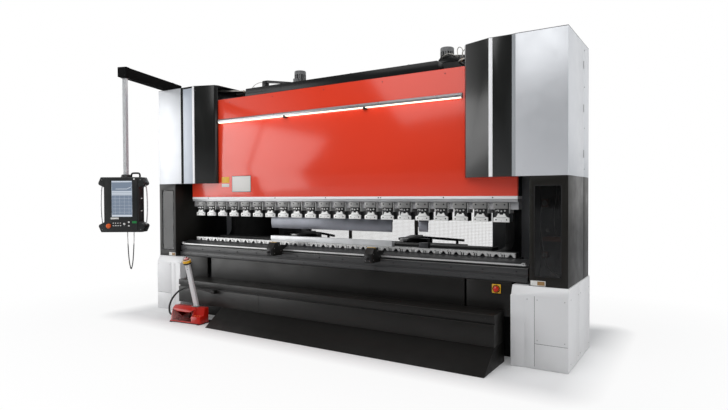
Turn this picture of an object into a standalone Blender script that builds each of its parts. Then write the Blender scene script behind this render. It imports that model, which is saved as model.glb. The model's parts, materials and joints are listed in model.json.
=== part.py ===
"""Hydraulic press brake with a 4.3 m bending length, modelled as an assembly of separate pieces.

Metres, +Z up. The origin is on the floor under the middle of the bending line,
+X runs along the bending line to the operator's right and +Y points to the rear.
"""
import math

import bmesh
import bpy
from mathutils import Matrix, Vector

# Driving dimensions
bending_length = 4.30
bed_front = -0.055
bed_back = 0.095
bed_top = 0.905
frame_inner = bending_length / 2 - 0.27
frame_plate = 0.090
frame_rear = 1.30
frame_height = 2.75
throat_depth = 0.42
throat_floor = 0.95
throat_ceiling = 1.60
throat_radius = 0.10
seat = 0.0003
running_gap = 0.0005
clearance = 0.006
sheet = 0.004

# Ram, its cover and its cylinders
ram_half_length = bending_length / 2
ram_front = -0.050
ram_back = 0.050
ram_bottom = 1.4733
ram_shoulder = 1.95
ram_drop = 0.085
cylinder_radius = 0.145
cylinder_bottom = ram_shoulder + 0.20
cylinder_top = frame_height - 0.05
cylinder_line = frame_inner + frame_plate / 2
ram_top = frame_height - 0.09
ram_crown_half = cylinder_line - cylinder_radius - 0.04
panel_front = -0.093
panel_top = ram_top + 0.04
cap_ends = (-1.190, 1.380)
cap_height = 0.09
cap_lean = 0.014
rod_radius = 0.060
rod_fit = 0.0008
rod_reach = 0.20
guide_front = ram_back + clearance
guide_width = 0.050
guide_sunk = 0.010
light_bar_low = 2.40
light_bar_high = 2.45
light_bar_depth = 0.032
light_bar_half = ram_crown_half - 0.11
light_clip_place = 0.546
light_clip_width = 0.045

# Punch clamping and tooling
clamp_bottom = 1.349
clamp_lip = 1.425
clamp_strip = 1.447
holder_count = 21
holder_pitch = 0.200
holder_width = 0.150
holder_front = -0.090
holder_bottom = 1.234
holder_step = 0.001
holder_foot = 0.040
holder_waist_low = 0.083
holder_waist_high = 0.118
holder_height = 0.180
punch_start = -0.85
punch_end = 0.81
punch_tip = 1.10
punch_width = 0.026
die_start = -0.845
die_end = 0.82
die_top = 1.010
die_width = 0.060
die_groove = 0.025
rail_half_length = 2.12
rail_top = 0.953
rail_front_plate = 0.035
rail_module = 0.1325
rail_slot = (0.012, 0.024)
rail_slots_at = (-0.44, -0.28)
rail_notch = (0.028, 0.006, 0.026)
rail_notch_shift = 0.02
bed_step = 0.005

# Front of the bed
front_beam_half = 2.27
slide_rail_half = 2.25
slide_rail_front = -0.185
slide_rail_top = 0.872
slide_rail_width = 0.020
front_beam_low = 0.712
apron_front = -0.220
apron_sheet = 0.008
apron_low = 0.402
apron_seam_right = 1.705
apron_gap_left = 1.70
apron_gap_width = 0.070
lower_cover_start = -1.95
lower_cover_end = 2.07
lower_cover_front = -0.490
lower_cover_low = 0.185
lower_cover_high = 0.460
lower_cover_slot = 0.385
toe_start = -1.20
toe_reach = -0.745
carriage_places = {"left": -0.566, "right": 0.735}
carriage_width = 0.095
carriage_front = -0.360
carriage_back = -0.120
carriage_low = 0.810
carriage_top = 0.957
carriage_head_back = -0.235
carriage_head_step = 0.030
carriage_tail = 0.022
shelf_gap = 0.010
switch_place = (2.00, 0.645)
switch_size = 0.080

# Side covers
cover_reach = 0.648
cover_outer = frame_inner + frame_plate + cover_reach
cover_front = -0.247
cover_top = frame_height + 0.135
cover_low = 1.646
cover_rear = 0.650
cover_joint = 0.400
cover_seam = 0.010
seam_depth = 0.003
silver_width = 0.440
silver_edge = cover_outer - silver_width
bevel_edge = silver_edge - 0.035
bevel_drop = 0.010
strip_edge = frame_inner + 0.088
strip_width = 0.034
wing_corner = (frame_inner - 0.201, -0.144)
wing_end = (frame_inner - 0.228, -0.100)
cabinet_width = 0.320
cabinet_inner = cover_outer - cabinet_width
cabinet_low = 0.700
window_low = cabinet_low + 0.080
window_high = cover_low - 0.080
window_inner = cabinet_inner + 0.040
window_outer = cover_outer - 0.051
base_outer = cover_outer + 0.012
base_inner = base_outer - 0.480
base_front = -0.285
base_fold = base_inner + 0.110
base_fold_reach = 0.020
base_bevel = cabinet_low - 0.078
base_rear = cover_rear + 0.005
base_margin = 0.10

# Rear of the machine
guard_plane = 1.460
guard_thick = 0.040
guard_half = 1.44
guard_low = 0.25
guard_high = 1.95
guard_posts = (-0.70, 0.345)
guard_columns = (3, 4, 4)
guard_rows = 6
guard_border = 0.035
guard_bar = 0.014
guard_bar_thick = 0.006
guard_weld = 0.004
rear_box_low = 0.10
rear_box_high = 2.30
rear_box_outer = frame_inner + frame_plate
tank_front = 0.45
tank_rear = 1.20
tank_gap = 0.010
tank_low = 2.55
tank_high = 2.90
unit_inner = 1.13
unit_outer = 1.75
unit_shoulder = 0.05
unit_depth = 0.30
unit_rises = {"left": 0.025, "right": 0.087}
motor_place = (1.07, 0.83)
motor_radius = 0.073
motor_top = 3.16
rest_bar_half = frame_inner - 0.03
rest_bar_back = 0.28
rest_bar_top = 0.972
rest_bar_sill = 0.09
gauge_beam_half = 1.35
gauge_beam_front = 0.62
gauge_beam_back = 0.74
gauge_beam_low = 0.86
gauge_beam_high = 0.94
gauge_rail_place = 1.05
gauge_rail_width = 0.08
gauge_rail_rear = 1.40
finger_places = {"left": -0.80, "right": 0.75}
finger_body_width = 0.30
finger_reach = 0.26

# Console on its swinging arm
arm_pivot = (-2.550, -0.100)
arm_turn = math.radians(18.3)
arm_length = 0.99
arm_tail = 0.150
arm_width = 0.110
arm_low = cover_top + 0.008
arm_high = arm_low + 0.112
arm_cap_length = 0.065
arm_cap_rim = 0.003
arm_cap_lift = 0.001
pole_from_end = 0.055
pole_size = 0.043
console_turn = math.radians(32.2)
console_top = 1.712
console_low = 1.065
console_depth = 0.160
console_waist = 0.205
console_wing = 0.271
console_wing_height = 0.235
console_shift = (-0.022, -0.01)
pole_low = console_top + 0.033

loop_radius = 0.0045
loop_legs = (0.036, 0.112)
loop_drop = 0.440

# Foot switch, its stand and its cord
foot_place = (-1.585, -0.598)
foot_turn = math.radians(6.5)
foot_width = 0.462
foot_depth = 0.24
foot_height = 0.185
foot_plateau = (-0.035, 0.025)
foot_split = 0.098
foot_sole = 0.018
stand_width = 0.062
stand_depth = 0.028
stand_high = 0.730
stand_lean = math.radians(15.5)
stand_place = (0.080, -0.008)
stop_radius = 0.046
stop_height = 0.045
button_radius = 0.026
button_height = 0.020
gland_radius = 0.018
gland_box = 0.040
cord_seat = 0.0008
gland_length = 0.044
gland_sunk = 0.010
gland_height = 0.045
foot_cord_radius = 0.011
foot_cord_start = (-1.330, -0.520, 0.360)
foot_cord_route = [
    foot_cord_start, (-1.360, -0.520, 0.360), (-1.43, -0.522, 0.368), (-1.53, -0.528, 0.384),
    (-1.65, -0.540, 0.390), (-1.77, -0.555, 0.370), (-1.87, -0.572, 0.318),
    (-1.945, -0.592, 0.235), (-1.975, -0.610, 0.150), (-1.957, -0.626, 0.085),
    (-1.925, -0.635, 0.058),
]

# Colours: name -> (red, green, blue), roughness, metallic
finishes = {
    "frame_black": ((0.018, 0.018, 0.019), 0.55, 0.0),
    "cover_black": ((0.022, 0.023, 0.024), 0.35, 0.0),
    "cover_silver": ((0.56, 0.57, 0.60), 0.38, 0.35),
    "cabinet_grey": ((0.045, 0.046, 0.045), 0.45, 0.0),
    "red_paint": ((0.62, 0.035, 0.020), 0.35, 0.0),
    "bright_steel": ((0.62, 0.62, 0.63), 0.30, 0.9),
    "tool_steel": ((0.16, 0.165, 0.18), 0.35, 0.8),
    "white_strip": ((0.80, 0.80, 0.80), 0.40, 0.0),
    "dark_glass": ((0.010, 0.010, 0.011), 0.10, 0.0),
    "yellow": ((0.80, 0.56, 0.02), 0.45, 0.0),
    "signal_red": ((0.62, 0.030, 0.015), 0.40, 0.0),
    "guard_steel": ((0.42, 0.41, 0.38), 0.50, 0.5),
    "rubber": ((0.015, 0.015, 0.015), 0.70, 0.0),
}


def clear_scene():
    for item in list(bpy.data.objects):
        bpy.data.objects.remove(item, do_unlink=True)


def new_collection(name):
    collection = bpy.data.collections.new(name)
    bpy.context.scene.collection.children.link(collection)
    return collection


def finish_material(name):
    """One Principled material per finish, shared by the pieces that have it."""
    found = bpy.data.materials.get(name)
    if found:
        return found
    colour, roughness, metallic = finishes[name]
    material = bpy.data.materials.new(name)
    material.use_nodes = True
    shader = material.node_tree.nodes["Principled BSDF"]
    shader.inputs["Base Color"].default_value = (*colour, 1.0)
    shader.inputs["Roughness"].default_value = roughness
    shader.inputs["Metallic"].default_value = metallic
    material.diffuse_color = (*colour, 1.0)
    return material


def add_object(name, mesh, finish):
    piece = bpy.data.objects.new(name, mesh)
    mesh.materials.append(finish_material(finish))
    parts.objects.link(piece)
    return piece


def mesh_from(build, name):
    """Mesh made by a function that fills a bmesh."""
    shape = bmesh.new()
    build(shape)
    mesh = bpy.data.meshes.new(name)
    shape.to_mesh(mesh)
    shape.free()
    return mesh


def block(name, x, y, z, finish):
    """Box between the two limits given for each axis."""
    def build(shape):
        bmesh.ops.create_cube(shape, size=1.0)
        bmesh.ops.scale(shape, verts=shape.verts, vec=(x[1] - x[0], y[1] - y[0], z[1] - z[0]))
    piece = add_object(name, mesh_from(build, name), finish)
    piece.location = ((x[0] + x[1]) / 2, (y[0] + y[1]) / 2, (z[0] + z[1]) / 2)
    return piece


def drum(name, centre, radius, z, finish, sides=32):
    """Upright cylinder between two heights."""
    def build(shape):
        bmesh.ops.create_cone(shape, cap_ends=True, segments=sides,
                              radius1=radius, radius2=radius, depth=z[1] - z[0])
    mesh = mesh_from(build, name)
    mesh.shade_smooth()
    mesh.set_sharp_from_angle(angle=math.radians(40))
    piece = add_object(name, mesh, finish)
    piece.location = (centre[0], centre[1], (z[0] + z[1]) / 2)
    return piece


axis_frames = {
    "x": Matrix(((0, 0, 1), (1, 0, 0), (0, 1, 0))),
    "y": Matrix(((1, 0, 0), (0, 0, -1), (0, 1, 0))),
    "z": Matrix.Identity(3),
}


def profile(name, outline, axis, span, finish, holes=()):
    """Flat outline extruded along an axis: (y, z) along x, (x, z) along y, (x, y) along z."""
    curve = bpy.data.curves.new(name, "CURVE")
    curve.dimensions = "2D"
    curve.fill_mode = "BOTH"
    curve.extrude = (span[1] - span[0]) / 2
    for points in (outline, *holes):
        spline = curve.splines.new("POLY")
        spline.points.add(len(points) - 1)
        for point, place in zip(spline.points, points):
            point.co = (place[0], place[1], 0.0, 1.0)
        spline.use_cyclic_u = True
    guide = bpy.data.objects.new(name + "_outline", curve)
    parts.objects.link(guide)
    turn = axis_frames[axis].to_4x4()
    middle = (span[0] + span[1]) / 2
    direction = axis_frames[axis] @ Vector((0.0, 0.0, 1.0))
    sign = direction.x + direction.y + direction.z
    guide.matrix_world = Matrix.Translation(direction * sign * middle) @ turn
    return solid_from_curve(guide, name, finish)


def solid_from_curve(guide, name, finish):
    """Mesh object with welded caps in place of a curve object."""
    bpy.context.view_layer.update()
    graph = bpy.context.evaluated_depsgraph_get()
    mesh = bpy.data.meshes.new_from_object(guide.evaluated_get(graph))
    mesh.name = name
    mesh.materials.clear()
    shape = bmesh.new()
    shape.from_mesh(mesh)
    bmesh.ops.remove_doubles(shape, verts=shape.verts, dist=0.00001)
    bmesh.ops.recalc_face_normals(shape, faces=shape.faces)
    shape.to_mesh(mesh)
    shape.free()
    piece = add_object(name, mesh, finish)
    piece.matrix_world = guide.matrix_world.copy()
    old_curve = guide.data
    bpy.data.objects.remove(guide, do_unlink=True)
    bpy.data.curves.remove(old_curve)
    return piece


def tube(name, points, radius, finish, resolution=3, steps=6):
    """Round tube along a smooth curve through the given points."""
    route = smooth_route(points, steps)
    curve = bpy.data.curves.new(name, "CURVE")
    curve.dimensions = "3D"
    curve.bevel_depth = radius
    curve.bevel_resolution = resolution
    curve.use_fill_caps = True
    spline = curve.splines.new("POLY")
    spline.points.add(len(route) - 1)
    for point, place in zip(spline.points, route):
        point.co = (*place, 1.0)
    guide = bpy.data.objects.new(name + "_route", curve)
    parts.objects.link(guide)
    piece = solid_from_curve(guide, name, finish)
    piece.data.shade_smooth()
    piece.data.set_sharp_from_angle(angle=math.radians(50))
    return piece


def smooth_route(points, steps):
    """Points of a Catmull-Rom curve through the given ones."""
    knots = [Vector(point) for point in points]
    if steps < 2:
        return knots
    ends = [2 * knots[0] - knots[1], *knots, 2 * knots[-1] - knots[-2]]
    route = []
    for index in range(1, len(ends) - 2):
        a, b, c, d = ends[index - 1:index + 3]
        for step in range(steps):
            t = step / steps
            route.append(0.5 * (2 * b + (c - a) * t + (2 * a - 5 * b + 4 * c - d) * t ** 2
                                + (3 * b - a - 3 * c + d) * t ** 3))
    route.append(knots[-1])
    return route


def boolean(target, tool, operation):
    """Live Boolean whose operand is kept, hidden, in the cutters collection."""
    modifier = target.modifiers.new(operation.lower(), "BOOLEAN")
    modifier.operation = operation
    modifier.solver = "EXACT"
    modifier.object = tool
    parts.objects.unlink(tool)
    cutters.objects.link(tool)
    tool.hide_render = True
    tool.display_type = "WIRE"
    return target


def cut(target, tool):
    return boolean(target, tool, "DIFFERENCE")


def unite(target, tool):
    return boolean(target, tool, "UNION")


def turn_about(piece, place, angle):
    """Turn a piece about an upright line through a place on the plan."""
    centre = Matrix.Translation((place[0], place[1], 0.0))
    turn = centre @ Matrix.Rotation(angle, 4, "Z") @ centre.inverted()
    piece.matrix_basis = turn @ piece.matrix_basis


def hang_on(name, place, pieces):
    """Parent pieces to an empty on the joint's axis, each where it is."""
    empty = bpy.data.objects.new(name, None)
    empty.location = place
    parts.objects.link(empty)
    for piece in pieces:
        piece.parent = empty
        piece.matrix_parent_inverse = Matrix.Translation(place).inverted()


def side_points(points, side):
    """Plan outline for the right side, or its mirror image for the left side."""
    if side > 0:
        return points
    return [(-x, y) for x, y in reversed(points)]


def side_span(low, high, side):
    return (low, high) if side > 0 else (-high, -low)


def arc(centre, radius, start, end, steps=6):
    """Points of an arc, angles in degrees."""
    points = []
    for step in range(steps + 1):
        angle = math.radians(start + (end - start) * step / steps)
        points.append((centre[0] + radius * math.cos(angle), centre[1] + radius * math.sin(angle)))
    return points


def rectangle(left, right, low, high):
    return [(left, low), (right, low), (right, high), (left, high)]


sides = {"left": -1, "right": 1}


# Fixed structure
def side_frames():
    """C-shaped plates whose throat lets long sheets pass the uprights."""
    r = throat_radius
    jaw_front = bed_back + seat
    cylinder_back = cylinder_radius + 0.010 + seat
    outline = [
        (jaw_front, 0.0), (frame_rear, 0.0), (frame_rear, frame_height - 0.25),
        (frame_rear - 0.20, frame_height), (cylinder_back, frame_height),
        (cylinder_back, ram_shoulder), (jaw_front, ram_shoulder), (jaw_front, throat_ceiling),
        *arc((throat_depth - r, throat_ceiling - r), r, 90, 0),
        *arc((throat_depth - r, throat_floor + r), r, 0, -90),
        (jaw_front, throat_floor),
    ]
    for name, side in sides.items():
        span = side_span(frame_inner, frame_inner + frame_plate, side)
        frame = profile("side_frame_" + name, outline, "x", span, "frame_black")
        guide = block("ram_guide_" + name,
                      side_span(cylinder_line - guide_width / 2, cylinder_line + guide_width / 2, side),
                      (guide_front, jaw_front + guide_sunk),
                      (throat_ceiling + 0.02, ram_shoulder - ram_drop - 2 * clearance), "bright_steel")
        unite(frame, guide)


def bed():
    block("bed_plate", (-ram_half_length, ram_half_length), (bed_front, bed_back), (0.0, bed_top),
          "frame_black")


def die_rail():
    """Plain rail with a serrated plate on its front face."""
    foot = bed_top + bed_step
    seam = bed_front + rail_front_plate
    profile("die_rail", [
        (bed_front, bed_top + seat), (bed_back - 0.03, bed_top + seat), (bed_back - 0.03, rail_top),
        (seam + seat, rail_top), (seam + seat, foot), (bed_front, foot),
    ], "x", (-rail_half_length, rail_half_length), "tool_steel")
    count = int(2 * rail_half_length / rail_module)
    start = -count * rail_module / 2
    low = foot + seat
    outline = [(-rail_half_length, rail_top), (-rail_half_length, low)]
    for index in range(count):
        x = start + (index + 0.5) * rail_module
        for part in rail_slots_at:
            outline += slot_points(x + part * rail_module, low)
        notch_low, notch_high, notch_rise = rail_notch
        x += rail_notch_shift
        outline += [(x - notch_low, low), (x - notch_high, low + notch_rise),
                    (x + notch_high, low + notch_rise), (x + notch_low, low)]
    outline += [(rail_half_length, low), (rail_half_length, rail_top)]
    profile("die_rail_teeth", outline, "y", (bed_front, seam), "bright_steel")


def slot_points(x, low):
    half = rail_slot[0] / 2
    top = low + rail_slot[1]
    return [(x - half, low), (x - half, top), (x + half, top), (x + half, low)]


def front_beam():
    """Grooved beam along the front edge of the bed, with the slide rail on it."""
    shelf_end = slide_rail_front + slide_rail_width
    profile("front_beam", [
        (bed_front - seat, front_beam_low), (bed_front - seat, bed_top),
        (shelf_end, slide_rail_top), (shelf_end, slide_rail_top - 0.014),
        (shelf_end + 0.015, slide_rail_top - 0.014), (shelf_end + 0.015, slide_rail_top - 0.040),
        (slide_rail_front - 0.005, slide_rail_top - 0.040),
        (slide_rail_front - 0.005, slide_rail_top - 0.090),
        (slide_rail_front + 0.005, slide_rail_top - 0.090),
        (slide_rail_front + 0.005, slide_rail_top - 0.110),
        (apron_front + 0.020, slide_rail_top - 0.110), (apron_front + 0.020, front_beam_low),
    ], "x", (-front_beam_half, front_beam_half), "cabinet_grey")
    block("slide_rail", (-slide_rail_half, slide_rail_half),
          (slide_rail_front, shelf_end - seat), (slide_rail_top - 0.014, slide_rail_top),
          "bright_steel")


def aprons():
    """Folded sheets that close the front of the bed below the front beam."""
    top = front_beam_low - seat
    outline = [
        (apron_front, apron_low), (apron_front, top), (apron_front + 0.10, top),
        (apron_front + 0.10, top - apron_sheet), (apron_front + apron_sheet, top - apron_sheet),
        (apron_front + apron_sheet, apron_low),
    ]
    half_seam = 0.010
    gap = apron_gap_width / 2
    edge = base_inner - 0.015
    spans = {
        "apron_left": (-edge, -apron_gap_left - gap),
        "apron_middle": (-apron_gap_left + gap, apron_seam_right - half_seam),
        "apron_right": (apron_seam_right + half_seam, edge),
    }
    for name, span in spans.items():
        profile(name, outline, "x", span, "cabinet_grey")
    block("main_switch_plate",
          (switch_place[0] - switch_size / 2, switch_place[0] + switch_size / 2),
          (apron_front - 0.012, apron_front - seat),
          (switch_place[1] - switch_size / 2, switch_place[1] + switch_size / 2), "yellow")


def main_switch_knob():
    """Round knob with a grip bar, turned about the y axis."""
    front = apron_front - 0.012 - seat

    def build(shape):
        bmesh.ops.create_cone(shape, cap_ends=True, segments=28, radius1=0.026, radius2=0.023,
                              depth=0.014)
    mesh = mesh_from(build, "main_switch_knob")
    knob = add_object("main_switch_knob", mesh, "signal_red")
    knob.rotation_euler = (math.radians(90), 0.0, 0.0)
    knob.location = (switch_place[0], front - 0.007, switch_place[1])
    grip = block("knob_grip", (switch_place[0] - 0.007, switch_place[0] + 0.007),
                 (front - 0.030, front - 0.010), (switch_place[1] - 0.024, switch_place[1] + 0.024),
                 "signal_red")
    unite(knob, grip)


def lower_covers():
    back = apron_front - seat
    slot = lower_cover_slot
    profile("lower_cover", [
        (lower_cover_front, lower_cover_low), (lower_cover_front, slot - 0.008),
        (lower_cover_front + 0.020, slot - 0.008), (lower_cover_front + 0.020, slot + 0.008),
        (lower_cover_front, slot + 0.008), (lower_cover_front, lower_cover_high),
        (back, lower_cover_high), (back, lower_cover_low),
    ], "x", (lower_cover_start, lower_cover_end), "cabinet_grey")
    top = lower_cover_low - seat
    crease = 0.45
    crease_y = lower_cover_front + (toe_reach - lower_cover_front) * (1 - crease)
    skirt = profile("toe_skirt", [
        (back, 0.0), (toe_reach, 0.0), (crease_y, top * crease + 0.002),
        (lower_cover_front, top), (back, top),
    ], "x", (toe_start, lower_cover_end), "cabinet_grey")
    board = block("toe_board", (lower_cover_start, toe_start + 0.01), (back - 0.02, back),
                  (0.0, top), "cabinet_grey")
    unite(skirt, board)


# Moving ram
def ram():
    outline = [
        (-ram_half_length, ram_bottom), (ram_half_length, ram_bottom),
        (ram_half_length, ram_shoulder), (ram_crown_half, ram_shoulder),
        (ram_crown_half, ram_top), (-ram_crown_half, ram_top),
        (-ram_crown_half, ram_shoulder), (-ram_half_length, ram_shoulder),
    ]
    profile("ram_beam", outline, "y", (ram_front, ram_back), "frame_black")
    low = ram_shoulder - 0.02
    panel = [
        (-ram_half_length, ram_bottom), (ram_half_length, ram_bottom), (ram_half_length, low),
        (ram_crown_half, low), (ram_crown_half, panel_top), (-ram_crown_half, panel_top),
        (-ram_crown_half, low), (-ram_half_length, low),
    ]
    profile("ram_panel", panel, "y", (panel_front, ram_front - seat), "red_paint")
    left, right = cap_ends
    cap_low = panel_top + seat
    cap = [(left, cap_low), (right, cap_low), (right - cap_lean, cap_low + cap_height),
           (left + cap_lean, cap_low + cap_height)]
    profile("ram_cap", cap, "y", (panel_front, ram_back), "frame_black")


def cylinders():
    """Cylinders on the side frames and their rods on the ram's shoulders."""
    for name, side in sides.items():
        centre = (side * cylinder_line, 0.0)
        body = drum("cylinder_" + name, centre, cylinder_radius, (cylinder_bottom, cylinder_top),
                    "cabinet_grey", 40)
        lug = block("cylinder_lug_" + name, (centre[0] - 0.13, centre[0] + 0.13),
                    (0.04, cylinder_radius + 0.010), (cylinder_bottom + 0.05, cylinder_top - 0.05),
                    "cabinet_grey")
        unite(body, lug)
        bore = drum("cylinder_bore_" + name, centre, rod_radius + rod_fit,
                    (cylinder_bottom - 0.05, cylinder_top - 0.10), "cabinet_grey", 40)
        cut(body, bore)
        drum("cylinder_rod_" + name, centre, rod_radius,
             (ram_shoulder + seat, cylinder_bottom + rod_reach), "bright_steel", 40)


def light_bar():
    """Light bar across the red panel, held by two clips under it."""
    back = panel_front - seat
    front = back - light_bar_depth
    outline = [
        (back, light_bar_low), (back, light_bar_high), (front + 0.012, light_bar_high),
        (front, light_bar_high - 0.016), (front, light_bar_low + 0.010),
        (front + 0.006, light_bar_low),
    ]
    half_clip = light_clip_width / 2
    bar = profile("light_bar", outline, "x", (-light_bar_half, light_bar_half), "white_strip")
    for name, side in sides.items():
        x = side_span(light_clip_place - half_clip, light_clip_place + half_clip, side)
        clip = block("light_clip_" + name, x, (front + 0.004, back),
                     (light_bar_low - 0.014, light_bar_low + 0.010), "frame_black")
        unite(bar, clip)


def clamp_beam():
    """Beam under the ram with the row of punch holders hanging from it."""
    top = ram_bottom - seat
    beam = profile("clamp_beam", [
        (ram_back, clamp_bottom), (ram_back, top), (panel_front, top), (panel_front, clamp_strip),
        (panel_front + 0.004, clamp_strip - 0.004), (panel_front + 0.004, clamp_lip),
        (ram_front - 0.010, clamp_lip - 0.008), (ram_front - 0.010, clamp_bottom),
    ], "x", (-ram_half_length, ram_half_length), "bright_steel")
    unite(beam, holder_row())


def holder_row():
    """Front silhouettes of the punch holders, each united with its block."""
    half = holder_width / 2
    waist = half * 0.80
    right_side = [
        (half, 0.0), (half, holder_foot), (half * 0.62, holder_foot + 0.008),
        (half * 0.40, holder_waist_low - 0.004), (waist, holder_waist_low),
        (waist, holder_waist_high), (half, holder_waist_high + 0.005), (half, holder_height),
    ]
    front_plate = [(x, holder_bottom + z) for x, z in right_side]
    front_plate += [(-x, holder_bottom + z) for x, z in reversed(right_side)]
    first = -holder_pitch * (holder_count - 1) / 2
    holder = profile("punch_holder", front_plate, "y", (holder_front, ram_front - 0.008),
                     "bright_steel")
    core = block("holder_core", (-half * 0.86, half * 0.86), (ram_front - 0.012, ram_back - 0.006),
                 (holder_bottom + holder_step, clamp_bottom + 0.004), "bright_steel")
    unite(holder, core)
    row = holder.modifiers.new("row", "ARRAY")
    row.use_relative_offset = False
    row.use_constant_offset = True
    row.constant_offset_displace = (holder_pitch, 0.0, 0.0)
    row.count = holder_count
    row.use_merge_vertices = False
    holder.location.x += first
    core.location.x += first
    return holder


def tooling():
    """Punch and V die in the middle of the machine."""
    half = punch_width / 2
    top = holder_bottom + holder_step - seat
    profile("punch", [
        (-half, top), (-half, punch_tip + 0.045), (-0.0015, punch_tip), (0.0015, punch_tip),
        (half * 0.55, punch_tip + 0.045), (half * 0.55, top - 0.035), (half, top - 0.025), (half, top),
    ], "x", (punch_start, punch_end), "tool_steel")
    side = die_width / 2
    groove = die_groove / 2
    profile("die", [
        (-side, rail_top + seat), (side, rail_top + seat), (side, die_top), (groove, die_top),
        (0.0, die_top - groove), (-groove, die_top), (-side, die_top),
    ], "x", (die_start, die_end), "bright_steel")


def shelf_height(y):
    """Height of the sloping shelf between the bed plate and the slide rail."""
    shelf_end = slide_rail_front + slide_rail_width
    slope = (bed_top - slide_rail_top) / (bed_front - seat - shelf_end)
    return slide_rail_top + slope * (y - shelf_end)


def carriages():
    """Sheet support carriages that slide along the front rail."""
    rail_gap = slide_rail_top + running_gap
    front = slide_rail_front - running_gap
    hook = slide_rail_front + slide_rail_width - 0.004
    beam_face = front - 0.015
    low = carriage_low
    outline = [
        (carriage_front, low), (beam_face, low), (beam_face, low + 0.032), (front, low + 0.032),
        (front, rail_gap), (hook, rail_gap), (hook + 0.002, shelf_height(hook) + shelf_gap),
        (carriage_back, shelf_height(carriage_back) + shelf_gap),
        (carriage_back, shelf_height(carriage_back) + shelf_gap + carriage_tail),
        (carriage_head_back, carriage_top - carriage_head_step), (carriage_head_back, carriage_top),
        (carriage_front + 0.042, carriage_top), (carriage_front, carriage_top - 0.057),
    ]
    for name, place in carriage_places.items():
        profile("carriage_" + name, outline, "x",
                (place - carriage_width / 2, place + carriage_width / 2), "cabinet_grey")


# Covers
def upper_covers():
    """Silver outer cover, black wing with its bright strip, lid and rear side sheet."""
    t = sheet
    low = cover_low
    wall_top = cover_top - sheet - seat
    black_front = cover_front + bevel_drop
    silver = [
        (bevel_edge, black_front), (silver_edge, cover_front), (cover_outer, cover_front),
        (cover_outer, cover_joint), (cover_outer - t, cover_joint), (cover_outer - t, cover_front + t),
        (silver_edge + 0.001, cover_front + t), (bevel_edge + 0.001, black_front + t),
    ]
    inner_edge = bevel_edge - seat
    knee = strip_edge - strip_width
    wing = [
        wing_end, wing_corner, (knee, black_front), (inner_edge, black_front),
        (inner_edge, black_front + t), (knee + 0.001, black_front + t),
        (wing_corner[0] + t, wing_corner[1] + 0.002), (wing_end[0] + t, wing_end[1]),
    ]
    floor = [wing_end, wing_corner, (knee, black_front), (inner_edge, black_front),
             (inner_edge, wing_end[1])]
    lid = [wing_end, wing_corner, (knee, black_front), (bevel_edge, black_front),
           (silver_edge, cover_front), (cover_outer, cover_front), (cover_outer, cover_rear),
           (frame_inner + tank_gap, cover_rear), (frame_inner + tank_gap, tank_front - tank_gap),
           (wing_end[0] + 0.02, tank_front - tank_gap)]
    for name, side in sides.items():
        profile("cover_silver_" + name, side_points(silver, side), "z", (low, wall_top),
                "cover_silver")
        piece = profile("cover_wing_" + name, side_points(wing, side), "z", (low, wall_top),
                        "cover_black")
        bottom = profile("wing_floor_" + name, side_points(floor, side), "z", (low, low + t),
                         "cover_black")
        unite(piece, bottom)
        strip = block("cover_strip_" + name, side_span(knee, strip_edge, side),
                      (black_front - 0.003, black_front + 0.002), (low, wall_top), "white_strip")
        unite(piece, strip)
        roof = profile("cover_lid_" + name, side_points(lid, side), "z",
                       (cover_top - sheet, cover_top), "cover_black")
        wall = profile("lid_wall_" + name, side_points(wing, side), "z",
                       (wall_top - 0.01, cover_top - sheet + 0.001), "cover_black")
        unite(piece, wall)
        unite(piece, roof)


def side_cabinets():
    """Dark cabinets with a window, between the base covers and the upper covers."""
    t = sheet * 3
    for name, side in sides.items():
        x = side_span(cabinet_inner, cover_outer, side)
        body = block("side_cabinet_" + name, x, (cover_front, cover_rear - sheet - seat),
                     (cabinet_low, cover_low - seat), "cabinet_grey")
        hollow = block("cabinet_hollow_" + name, side_span(cabinet_inner + t, cover_outer - t, side),
                       (cover_front + t, cover_rear + 0.1), (cabinet_low + t, cover_low - t),
                       "cabinet_grey")
        cut(body, hollow)
        seam = block("cabinet_seam_" + name,
                     side_span(cover_outer - seam_depth, cover_outer + 0.05, side),
                     (cover_joint, cover_joint + cover_seam), (cabinet_low - 0.05, cover_low + 0.05),
                     "cabinet_grey")
        cut(body, seam)
        window = block("cabinet_window_" + name, side_span(window_inner, window_outer, side),
                       (cover_front - 0.05, cover_front + t + 0.01), (window_low, window_high),
                       "cabinet_grey")
        cut(body, window)
        block("window_pane_" + name,
              side_span(window_inner + seat, window_outer - seat, side),
              (cover_front + 0.003, cover_front + 0.008), (window_low + seat, window_high - seat),
              "dark_glass")


def base_covers():
    """Silver base covers with a bevelled top edge and an upright fold near the inner edge."""
    top = cabinet_low - seat
    for name, side in sides.items():
        plan = [(base_inner, base_front - base_fold_reach), (base_fold, base_front),
                (base_outer, base_front), (base_outer, base_rear),
                (base_inner, base_rear)]
        body = profile("base_cover_" + name, side_points(plan, side), "z", (0.0, top), "cover_silver")
        wedge = [(base_front - base_margin, base_bevel), (base_front, base_bevel),
                 (cover_front, top), (cover_front, top + base_margin),
                 (base_front - base_margin, top + base_margin)]
        cutter = profile("base_bevel_" + name, wedge, "x",
                         side_span(base_inner - base_margin, base_outer + base_margin, side),
                         "cover_silver")
        cut(body, cutter)


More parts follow.
